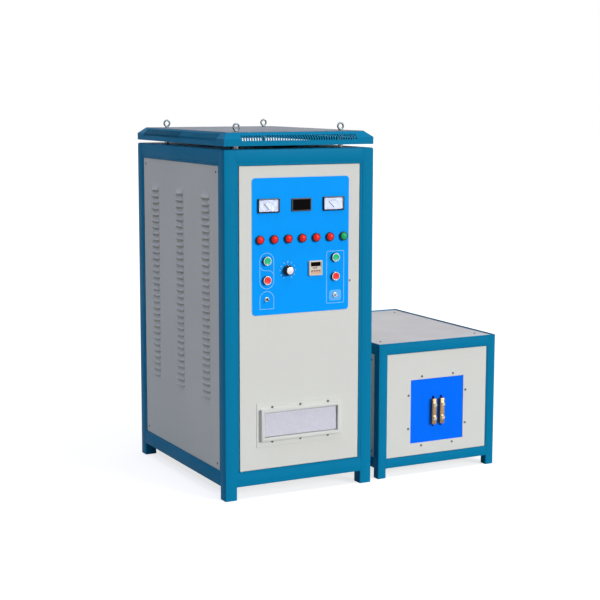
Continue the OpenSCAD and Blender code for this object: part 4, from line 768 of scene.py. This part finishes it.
KNOB_BODY = [(3, -19.8, 0), (3, 0.5, 0), (17.0, 0.5, 0), (17.5, 1.0, 0), (17.5, 3.6, 0), (16.8, 4.6, 0),
             (15.6, 5.0, 0.4), (15.2, 6.0, 1), (14.9, 15.6, 1), (14.4, 16.8, 0.5), (13.2, 17.5, 0)]
KNOB_CAP = [(11.8, 16.6), (11.8, 17.8), (11.4, 18.3), (10.4, 18.5), (0, 18.4)]
KNOB_MARK, KNOB_MARK_AT = [(0.6, 3.0, 0.3, 3.4), (0.6, 3.0, 0.3, 4.9), (0.5, 2.8, 0.3, 5.1)], 14.2
FLUTES, FLUTE_DEEP = 24, 0.8


def lens_dome():
    """A lens: level = base + rise x (1 - (round x q)^2)^0.5 + ripple x cos(ripples x 2 pi q) at share q."""
    q = np.linspace(1, 0, 15)
    ripple = LENS_RIPPLE * np.cos(q * LENS_RIPPLES * 2 * np.pi)
    level = LENS_LOW + LENS_RISE * np.sqrt(1 - (q * LENS_ROUND_SHARE) ** 2) + ripple
    return turned([(LENS_R, LENS_LOW)] + list(zip(LENS_R * q, level)), 32)


def fluted(profile, flutes, depth, n):
    """A turned solid of (radius, level, share): radius less share x depth x (1 - cos(flutes x a)) / 2."""
    a = np.arange(n) * 2 * np.pi / n
    rows = []
    for r, t, share in profile:
        rr = max(r, POLE_R) - share * depth * (0.5 - 0.5 * np.cos(flutes * a))
        rows.append(np.column_stack([rr * np.cos(a), rr * np.sin(a), np.full(n, t)]))
    return capped(np.concatenate(rows), len(rows), n)


lamp_xs = [LAMP_SHIFT + (k - LAMPS // 2) * LAMP_PITCH for k in range(LAMPS)]
collar_and_nut = (turned(LAMP_COLLAR, 32), turned(LAMP_NUT, 6))
collars = [on_overlay(shell, dx, LAMP_Z) for dx in lamp_xs for shell in collar_and_nut]
lenses = [on_overlay(lens_dome(), dx, LAMP_Z) for dx in lamp_xs]
piece("lamp_collars", collars, "door", LOOK["black"], ["lamp_bezels"])
piece("red_lenses", lenses[:-1], "door", LOOK["red_lens"], ["lamp_lenses"])
piece("green_lens", lenses[-1:], "door", LOOK["green_lens"])

button_places = [(k * BUTTON_X, dz) for k in (-1, 1) for dz in BUTTON_Z]
button_rim = carried(arc(0, 0, BUTTON_RIM_R, 0, 350, 36), BUTTON_RIM)
for side, dx in (("left", -BUTTON_X), ("right", BUTTON_X)):
    for colour, action, dz in zip(("green", "red"), ("start", "stop"), BUTTON_Z):
        piece(f"{colour}_cap_{side}", [on_overlay(turned(BUTTON_CAP, 36), dx, dz)],
              f"button_{action}_{side}", LOOK[f"{colour}_cap"], [f"{colour}_button_{side}"])
piece("button_collars", [on_overlay(turned(BUTTON_COLLAR, 36), dx, dz) for dx, dz in button_places], "door",
      LOOK["black"], ["button_rings"])
piece("button_rims", [on_overlay(button_rim, dx, dz) for dx, dz in button_places], "door", LOOK["nickel"])

knob = fluted(KNOB_BODY, FLUTES, FLUTE_DEEP, 6 * FLUTES)
mark = moved(stepped(KNOB_MARK, 3), 0, KNOB_MARK_AT)
piece("knob_body", [on_overlay(knob, KNOB_X, KNOB_Z)], "knob", LOOK["black"], ["power_knob"])
piece("knob_cap", [on_overlay(turned(KNOB_CAP, 48), KNOB_X, KNOB_Z)], "knob", LOOK["nickel"])
piece("knob_mark", [on_overlay(mark, KNOB_X, KNOB_Z)], "knob", LOOK["white_print"])

# timer
TIMER_CASE = [(22, 22, 1, -60), (22, 22, 1, 0), (24, 24, 1.6, 0), (24, 24, 1.6, 6.0),
              (23.6, 23.6, 1.4, 6.8), (23, 23, 1.2, 7.0), (20.4, 20.4, 0.8, 7.0), (20.0, 20.0, 0.6, 6.6),
              (20.0, 20.0, 0.6, 5.4)]
PLATE_LOW, PLATE_BREAK = 5.3, 0.2
TIMER_WINDOW, TIMER_LOWER = (0.0, 12.4, 17.6, 6.8, 5.9), (0.0, -15.6, 17.6, 3.6, 5.8)
TIMER_MARK, TIMER_MARK_XS, TIMER_MARK_Z = (2.0, 2.2, 5.75, 0.3), (-9.0, -3.0, 3.0), 0.6


def plate(dx, dz, half_w, half_h, high, r=0.5):
    """A small plate with softened front edges on the timer's sunk face."""
    shape = stepped([(half_w, half_h, r, PLATE_LOW), (half_w, half_h, r, high - PLATE_BREAK),
                     (half_w - PLATE_BREAK, half_h - PLATE_BREAK, r, high)], 3)
    return on_overlay(moved(shape, dx, dz), TIMER_X, TIMER_Z)


timer_marks = [plate(dx, TIMER_MARK_Z, *TIMER_MARK) for dx in TIMER_MARK_XS]
piece("timer_shell", [on_overlay(stepped(TIMER_CASE), TIMER_X, TIMER_Z)], "door", LOOK["cream"],
      ["timer_case"])
piece("timer_window", [plate(*TIMER_WINDOW)], "door", LOOK["window_dark"])
piece("timer_lower", [plate(*TIMER_LOWER)], "door", LOOK["peach"])
piece("timer_marks", timer_marks, "door", LOOK["key"])

# filter
RIM_EASE, RIM_SOFT, RIM_SUNK = 2.0, 0.6, 1.4
FLANGE_IN, FLANGE_W, FLANGE_LIP, FLANGE_BREAK = 14.5, 10.0, 1.5, 0.3
FILTER_SCREW_X, FILTER_SCREW_Z = 102.0, 57.0
MAT_GAP, MAT_LOW, MAT_HIGH, MAT_EDGE = 0.5, -1.0, 7.0, 3.0
MAT_SEED, MAT_COLS, MAT_ROWS, MAT_WAVES = 7, 150, 46, 8
MAT_DIP, MAT_WAVE, MAT_FUZZ = 0.9, 0.12, 0.09


def mat_surface(half_w, half_h, low, high):
    """The mat as a grid: its level is a sum of sines and seeded fuzz, let down towards its edge."""
    rng = np.random.default_rng(MAT_SEED)
    nx, nz = MAT_COLS, MAT_ROWS
    x, z = np.meshgrid(np.linspace(-half_w, half_w, nx), np.linspace(-half_h, half_h, nz))
    lumps = 0
    for _ in range(MAT_WAVES):
        along = np.sin(x / rng.uniform(5, 30) + rng.uniform(0, 6))
        lumps = lumps + along * np.sin(z / rng.uniform(5, 20) + rng.uniform(0, 6))
    top = high - MAT_DIP + MAT_WAVE * lumps + rng.normal(0, MAT_FUZZ, x.shape)
    edge = np.minimum(1, np.minimum(half_w - np.abs(x), half_h - np.abs(z)) / MAT_EDGE)
    top = low + (top - low) * np.sqrt(np.clip(edge, 0.02, 1))
    front = np.column_stack([x.ravel(), z.ravel(), np.minimum(top, high).ravel()])
    back = front * [1, 1, 0] + [0, 0, low]
    f = quads(nz, nx, wrap=False)
    count = nz * nx
    loop = np.concatenate([np.arange(nx), np.arange(2 * nx - 1, count, nx),
                           np.arange(count - 2, count - nx - 1, -1), np.arange(count - 2 * nx, 0, -nx)])
    after = np.roll(loop, -1)
    wall = np.stack([after, loop, loop + count, after + count], 1)
    return outward((np.concatenate([front, back]), [f, f[:, ::-1] + count, wall]))


hw, at_filter = RIM_WALL / 2, (DOOR_X, RECESS, FILTER_Z)
rim_half = [(-hw, -RIM_SUNK), (-hw, RIM_OUT - RIM_EASE), (-hw + RIM_SOFT, RIM_OUT - RIM_SOFT),
            (-hw + RIM_EASE, RIM_OUT)]
rim_section = rim_half[:1] + [(-u, v) for u, v in rim_half] + rim_half[:0:-1]
flange_section = [(-FLANGE_IN, 0), (FLANGE_W, 0), (FLANGE_W, FLANGE_LIP - FLANGE_BREAK),
                  (FLANGE_W - FLANGE_BREAK, FLANGE_LIP), (-FLANGE_IN, FLANGE_LIP)]
rim = carried(ring(RIM_W / 2 - hw, RIM_H / 2 - hw, 0.0, 1), rim_section)
flange = carried(ring(FILTER_W / 2 - FLANGE_W, FILTER_H / 2 - FLANGE_W, 0.0, 1), flange_section)
felt_shell = mat_surface(RIM_W / 2 - RIM_WALL - MAT_GAP, RIM_H / 2 - RIM_WALL - MAT_GAP, MAT_LOW, MAT_HIGH)
screw_places = [(i * FILTER_SCREW_X, j * FILTER_SCREW_Z) for i in (-1, 0, 1) for j in (-1, 1)]
filter_heads = [placed(head, (DOOR_X + dx, RECESS - FLANGE_LIP, FILTER_Z + dz)) for dx, dz in screw_places]
piece("filter_rim", [placed(rim, at_filter), placed(flange, at_filter)], "door", LOOK["grey"],
      ["filter_frame"])
piece("filter_screw_heads", filter_heads, "door", LOOK["screw"])
piece("filter_felt", [placed(felt_shell, at_filter)], "door", LOOK["felt"], ["filter_mat"],
      sharp=70)

# output terminals
TONGUE_END, TONGUE_REACH, TONGUE_W, TONGUE_H = 96.0, 36.0, 7.0, 78.0
TONGUE_BACK, TONGUE_SEAT, TONGUE_R = BOARD_Y - TONGUE_END, 0.5, 0.4
TERMINAL_BAR = [(9, 45, 3.0, 0), (9, 45, 3.0, 9.6), (8.5, 44.5, 2.8, 11.2), (7.2, 43.2, 2.4, BLOCK_T)]
TERMINAL_BOLT = [(4.0, -0.2), (7.4, -0.1), (7.5, 0.4), (7.5, 5.2), (6.6, 6.0), (0, 6.0)]
TERMINAL_WASHER = [(8.6, -0.1), (8.6, 0.7), (8.3, 0.9), (0, 0.9)]

tongue = stepped([(TONGUE_W / 2, TONGUE_H / 2, TONGUE_R, level) for level in (TONGUE_BACK, TONGUE_SEAT)], 2)
foot = stepped([(TONGUE_REACH / 2, TONGUE_H / 2, TONGUE_R, TONGUE_BACK + t) for t in (0.0, TONGUE_W)], 2)
bars, bolts = [], []
for i in (-1, 1):
    at = (station_mid + i * BLOCK_PITCH / 2, STATION_Y + BOARD_Y, BLOCK_Z)
    shells = (stepped(TERMINAL_BAR, 5), tongue, moved(foot, i * TONGUE_REACH / 2, 0))
    bars += [placed(shell, at) for shell in shells]
    for j in (-1, 1):
        bolt_at = (at[0], at[1] - BLOCK_T, BLOCK_Z + j * BOLT_PITCH / 2)
        bolts += [placed(turned(TERMINAL_BOLT, 6), bolt_at), placed(turned(TERMINAL_WASHER), bolt_at)]
piece("terminal_bars", bars, "cabinets", LOOK["brass"], ["output_blocks"])
piece("terminal_bolts", bolts, "cabinets", LOOK["bolt"], ["output_bolts"])

# choke and transformer, seen with the door or a panel off
COIL_GAP, COIL_R, COIL_DIP, LEAVES, LEAF_GAP = 0.5, 12.0, 1.6, 14, 0.5
CHOKE_AT, CHOKE_W, CHOKE_H, CHOKE_D = (267.5, 210.0, 85.0), 170.0, 150.0, 90.0
CHOKE_LIMB, CHOKE_WALL, CHOKE_TURNS = 34.0, 20.0, 16
CORE_AT, CORE_W, CORE_H, CORE_D = (station_mid, 137.0, 119.0), 220.0, 190.0, 110.0
CORE_LIMB, CORE_WALL, CORE_TURNS = 42.0, 16.0, 9
CORE_FOOT = [(21, 55, 2, 0), (21, 55, 2, 53), (20, 54, 2, 53.8)]
CORE_FOOT_Z = 65.0


def laminated(w, h, d, limb):
    """A closed core: a comb of thin leaves carried round the middle line of its four limbs."""
    edges = np.linspace(-d / 2, d / 2, 2 * LEAVES)
    comb = [(limb / 2 - (LEAF_GAP if i % 4 in (1, 2) else 0.0), y) for i, y in enumerate(edges)]
    section = comb + [(-x, y) for x, y in comb[::-1]]
    return carried(ring((w - limb) / 2, (h - limb) / 2, 0.0, 1), section)


def wound(half_w, half_d, h, turns):
    """A coil as stacked rounded rings: half size - dip x (1 - |sin(pi x turns x z / height)|)."""
    z = np.linspace(0, h, 6 * turns + 1)
    inset = COIL_DIP * (1 - np.abs(np.sin(np.pi * turns * z / h)))
    return stepped([(half_w - i, half_d - i, COIL_R, level) for i, level in zip(inset, z)], 6)


def core_and_coils(name, at, w, h, d, limb, wall, turns, replaced):
    """A laminated core with a coil on each upright limb."""
    x, y, z = at
    piece(f"{name}_core", [placed(laminated(w, h, d, limb), (x, y, z + h / 2))], "cabinets", LOOK["iron"],
          [replaced])
    coil = wound(limb / 2 + wall, d / 2 + wall, h - 2 * limb - 2 * COIL_GAP, turns)
    coils = [placed(coil, (x + k * (w - limb) / 2, y, z + limb + COIL_GAP), RIGHT, BACK) for k in (-1, 1)]
    piece(f"{name}_coils", coils, "cabinets", LOOK["copper"])


core_and_coils("choke", CHOKE_AT, CHOKE_W, CHOKE_H, CHOKE_D, CHOKE_LIMB, CHOKE_WALL, CHOKE_TURNS,
               "dc_choke")
core_and_coils("transformer", CORE_AT, CORE_W, CORE_H, CORE_D, CORE_LIMB, CORE_WALL, CORE_TURNS,
               "matching_transformer")
feet = [placed(stepped(CORE_FOOT), (CORE_AT[0] + k * (CORE_W - CORE_LIMB) / 2, CORE_AT[1], CORE_FOOT_Z),
               RIGHT, BACK) for k in (-1, 1)]
piece("transformer_feet", feet, "cabinets", LOOK["lever"])

# capacitors and power modules
GEAR_Y, CAN_Z, CAN_X_SHARES = 430.0, 640.0, (0.20, 0.353, 0.506, 0.66)
CAN = [(32.1, 0), (32.1, 98.0), (31.6, 99.4), (30.4, 100.0), (29.0, 100.0), (28.2, 99.0), (27.6, 97.4),
       (12, 97.4), (0, 97.4)]
CAN_STUD = [(7.5, 97.0), (7.5, 100.5), (6.9, 101.2), (4.6, 101.2), (4.6, 104.6), (4.2, 105.0), (0, 105.0)]
CAN_VENT = [(3.0, 97.0), (3.0, 98.2), (2.4, 98.6), (0, 98.6)]
STUD_X, VENT_Z = 14.0, 17.0
TANKS, TANK_AT, TANK_PITCH = 4, (660.0, 441.0, 65.0), 100.0
TANK_BOX = [(44, 74, 4, 0), (45, 75, 5, 1.5), (45, 75, 5, 116), (44.4, 74.4, 5, 118), (42, 72, 4, 119.6),
            (30, 60, 3, 120)]
TANK_POST = [(8, 119.5), (8, 121), (6.2, 122), (6.2, 123.5), (8, 124.5), (8, 126), (6.2, 127), (6.2, 128.5),
             (7.6, 129.5), (7.6, 131), (3.6, 131.4), (3.6, 137.6), (3.2, 138), (0, 138)]
TANK_POST_Y = 37.5
MODULE_X_SHARES, MODULE_Y, MODULE_ZS = (0.54, 0.757), GEAR_Y - 24.0, (808.0, 912.0)
MODULE = [(31, 48, 2, 0), (31, 48, 2, 4), (28, 46, 2, 4.6), (28, 46, 2, 24), (27.4, 45.4, 2, 25),
          (13, 43, 1.5, 25.2), (12.6, 42.6, 1.5, 28.4), (12, 42, 1.5, 28.8)]
MODULE_TOP, MODULE_TOP_ZS = [(5.4, 28.4), (5.4, 29.6), (4.9, 30.0), (0, 30.0)], (-30.0, 0.0, 30.0)

can_places = [(share * MAIN_W, GEAR_Y, CAN_Z) for share in CAN_X_SHARES]
stud, vent = turned(CAN_STUD, 20), turned(CAN_VENT, 16)
can_tops = [moved(stud, -STUD_X, 0), moved(stud, STUD_X, 0), moved(vent, 0, VENT_Z)]
piece("capacitor_cans", [placed(turned(CAN, 40), at) for at in can_places], "cabinets", LOOK["aluminium"],
      ["dc_capacitors"])
piece("capacitor_studs", [placed(top, at) for at in can_places for top in can_tops], "cabinets",
      LOOK["zinc"])

tank_places = [(TANK_AT[0] + k * TANK_PITCH, *TANK_AT[1:]) for k in range(TANKS)]
tank_posts = [moved(turned(TANK_POST, 20), 0, k * TANK_POST_Y) for k in (-1, 1)]
piece("tank_capacitor_boxes", [placed(stepped(TANK_BOX, 6), at, RIGHT, BACK) for at in tank_places],
      "cabinets", LOOK["aluminium"], ["resonant_capacitors"])
piece("tank_capacitor_posts", [placed(post, at, RIGHT, BACK) for at in tank_places for post in tank_posts],
      "cabinets", LOOK["copper"])

module_places = [(share * MAIN_W, MODULE_Y, z) for share in MODULE_X_SHARES for z in MODULE_ZS]
module_tops = [moved(turned(MODULE_TOP, 6), 0, z) for z in MODULE_TOP_ZS]
piece("module_bodies", [placed(stepped(MODULE), at) for at in module_places], "cabinets", LOOK["black"],
      ["power_modules"])
piece("module_terminals", [placed(top, at) for at in module_places for top in module_tops], "cabinets",
      LOOK["nickel"])

# glands and hose tails at the back
BACK_Z, TAIL_PITCH, GLAND_X_SHARE = 170.0, 120.0, 0.63 / 4
BAR_SHARE, BAR_HALF, BAR_DEEP, BAR_SOFT = 0.185, 17.0, 34.0, 1.5
GLAND = [(11.0, -8.4), (18.9, -8.4), (18.9, -1.6), (15.0, -1.5), (15.0, 0.0), (19.0, 0.0), (19.0, 8.0),
         (17.4, 8.6), (17.4, 9.4), (18.6, 10.0), (18.6, 18.0), (17.0, 21.6), (14.4, 23.6), (12.6, 24.0),
         (11.0, 23.2)]
HOSE_TAIL = [(4.5, 0.0), (11.0, 0.0), (11.0, 5.4), (10.4, 6.0), (5.6, 6.0), (5.6, 10.0), (6.5, 10.0),
             (5.6, 14.5), (6.5, 14.5), (5.6, 19.0), (6.5, 19.0), (5.6, 23.5), (6.5, 23.5), (5.4, 29.4),
             (5.2, 30.0), (4.5, 30.0)]


def tube(section, n=40):
    """A closed section of (radius, level) pairs turned round the axis, open through the middle."""
    unit_circle = arc(0, 0, 1.0, 0, 360 - 360 / n, n)
    return carried(unit_circle, [(r - 1.0, t) for r, t in section])


glands, water_bars, tails = [], [], []
for x0, y0, w, d in ((0.0, 0.0, MAIN_W, MAIN_D), (STATION_X, STATION_Y, STATION_W, STATION_D)):
    back_y = y0 + d - RECESS
    bar = stepped([(BAR_SHARE * w, BAR_HALF, BAR_SOFT, level) for level in (-BAR_DEEP, 0.0)])
    glands.append(placed(tube(GLAND), (x0 + w - w * GLAND_X_SHARE, back_y, BACK_Z), LEFT))
    water_bars.append(placed(bar, (x0 + w / 2, back_y - SHEET, BACK_Z), LEFT))
    tails += [placed(tube(HOSE_TAIL), (x0 + w / 2 + k * TAIL_PITCH / 2, back_y, BACK_Z), LEFT)
              for k in (-1, 1)]
piece("gland_bodies", glands, "cabinets", LOOK["black"], ["cable_glands"])
piece("water_bars", water_bars, "cabinets", LOOK["brass"], ["water_manifolds"])
piece("hose_tails", tails, "cabinets", LOOK["bolt"])

# camera
CAMERA_AT = (-1867.145, -4077.953, 1301.734)
YAW, PITCH, ROLL = math.radians(27.6163), math.radians(-8.2210), math.radians(0.11866)
LENS, SENSOR = 86.59, 36.0


def camera_matrix():
    """Forward from yaw and pitch, then right and up turned by the roll; a camera looks along its own -Z."""
    ahead = Vector((math.sin(YAW) * math.cos(PITCH), math.cos(YAW) * math.cos(PITCH), math.sin(PITCH)))
    right = Vector((math.cos(YAW), -math.sin(YAW), 0))
    up = right.cross(ahead)
    rolled_right = math.cos(ROLL) * right + math.sin(ROLL) * up
    rolled_up = math.cos(ROLL) * up - math.sin(ROLL) * right
    turn = Matrix((rolled_right, rolled_up, -ahead)).transposed().to_4x4()
    return Matrix.Translation((Vector(CAMERA_AT) - Vector((MID_X, MID_Y, 0))) * MM) @ turn


camera = bpy.data.objects.new("camera", bpy.data.cameras.new("camera"))
camera.data.lens, camera.data.sensor_width, camera.data.sensor_fit = LENS, SENSOR, "HORIZONTAL"
camera.matrix_world = camera_matrix()
bpy.context.scene.collection.objects.link(camera)
bpy.context.scene.camera = camera

# floor and light
FLOOR_HALF, FLOOR_BASE, FLOOR_GLOW = 30000.0, 0.50, 0.74
SKY_SEEN, SKY_LIT = 0.92, 0.08


def seen_directly(tree):
    """1 for camera, glossy and transmitted rays, which see the white surroundings."""
    path = tree.nodes.new("ShaderNodeLightPath").outputs
    first = math_node(tree, "MAXIMUM", path["Is Camera Ray"], path["Is Glossy Ray"])
    return math_node(tree, "MAXIMUM", first, path["Is Transmission Ray"])


def pale_floor():
    """Matt floor that keeps the shadow and glows only to rays that see it directly."""
    mat, tree, shader = blank("pale_floor")
    shader.inputs["Base Color"].default_value = (FLOOR_BASE, FLOOR_BASE, FLOOR_BASE, 1)
    shader.inputs["Roughness"].default_value = 0.9
    shader.inputs["Specular IOR Level"].default_value = 0.0
    shader.inputs["Emission Color"].default_value = (1, 1, 1, 1)
    glow = math_node(tree, "MULTIPLY", seen_directly(tree), FLOOR_GLOW)
    tree.links.new(glow, shader.inputs["Emission Strength"])
    return mat


floor_mesh = bpy.data.meshes.new("floor")
floor_corners = [(i * FLOOR_HALF * MM, j * FLOOR_HALF * MM, 0.0) for i, j in QUARTERS]
floor_mesh.from_pydata(floor_corners, [], [(0, 2, 3, 1)])
floor_mesh.materials.append(pale_floor())
floor = bpy.data.objects.new("floor", floor_mesh)
bpy.context.scene.collection.objects.link(floor)

world = bpy.data.worlds.new("studio")
bpy.context.scene.world = world
world.use_nodes = True
sky = world.node_tree.nodes["Background"]
sky.inputs["Color"].default_value = (1, 1, 1, 1)
seen = math_node(world.node_tree, "MULTIPLY", seen_directly(world.node_tree), SKY_SEEN)
world.node_tree.links.new(math_node(world.node_tree, "ADD", seen, SKY_LIT), sky.inputs["Strength"])


def sun(name, towards, strength, angle, colour=(1.0, 1.0, 1.0)):
    """A soft sun that shines from a direction towards the object."""
    lamp = bpy.data.lights.new(name, "SUN")
    lamp.energy, lamp.angle, lamp.color = strength, math.radians(angle), colour
    obj = bpy.data.objects.new(name, lamp)
    obj.rotation_euler = Vector(towards).to_track_quat("Z", "Y").to_euler()
    bpy.context.scene.collection.objects.link(obj)


sun("key", (0.50, -0.80, 0.30), 2.60, 30)
sun("top", (0.05, -0.10, 1.0), 1.15, 50)
sun("left", (-0.62, -0.10, 0.78), 0.49, 12, (0.80, 1.0, 1.50))

bpy.context.scene.view_settings.view_transform = "Standard"
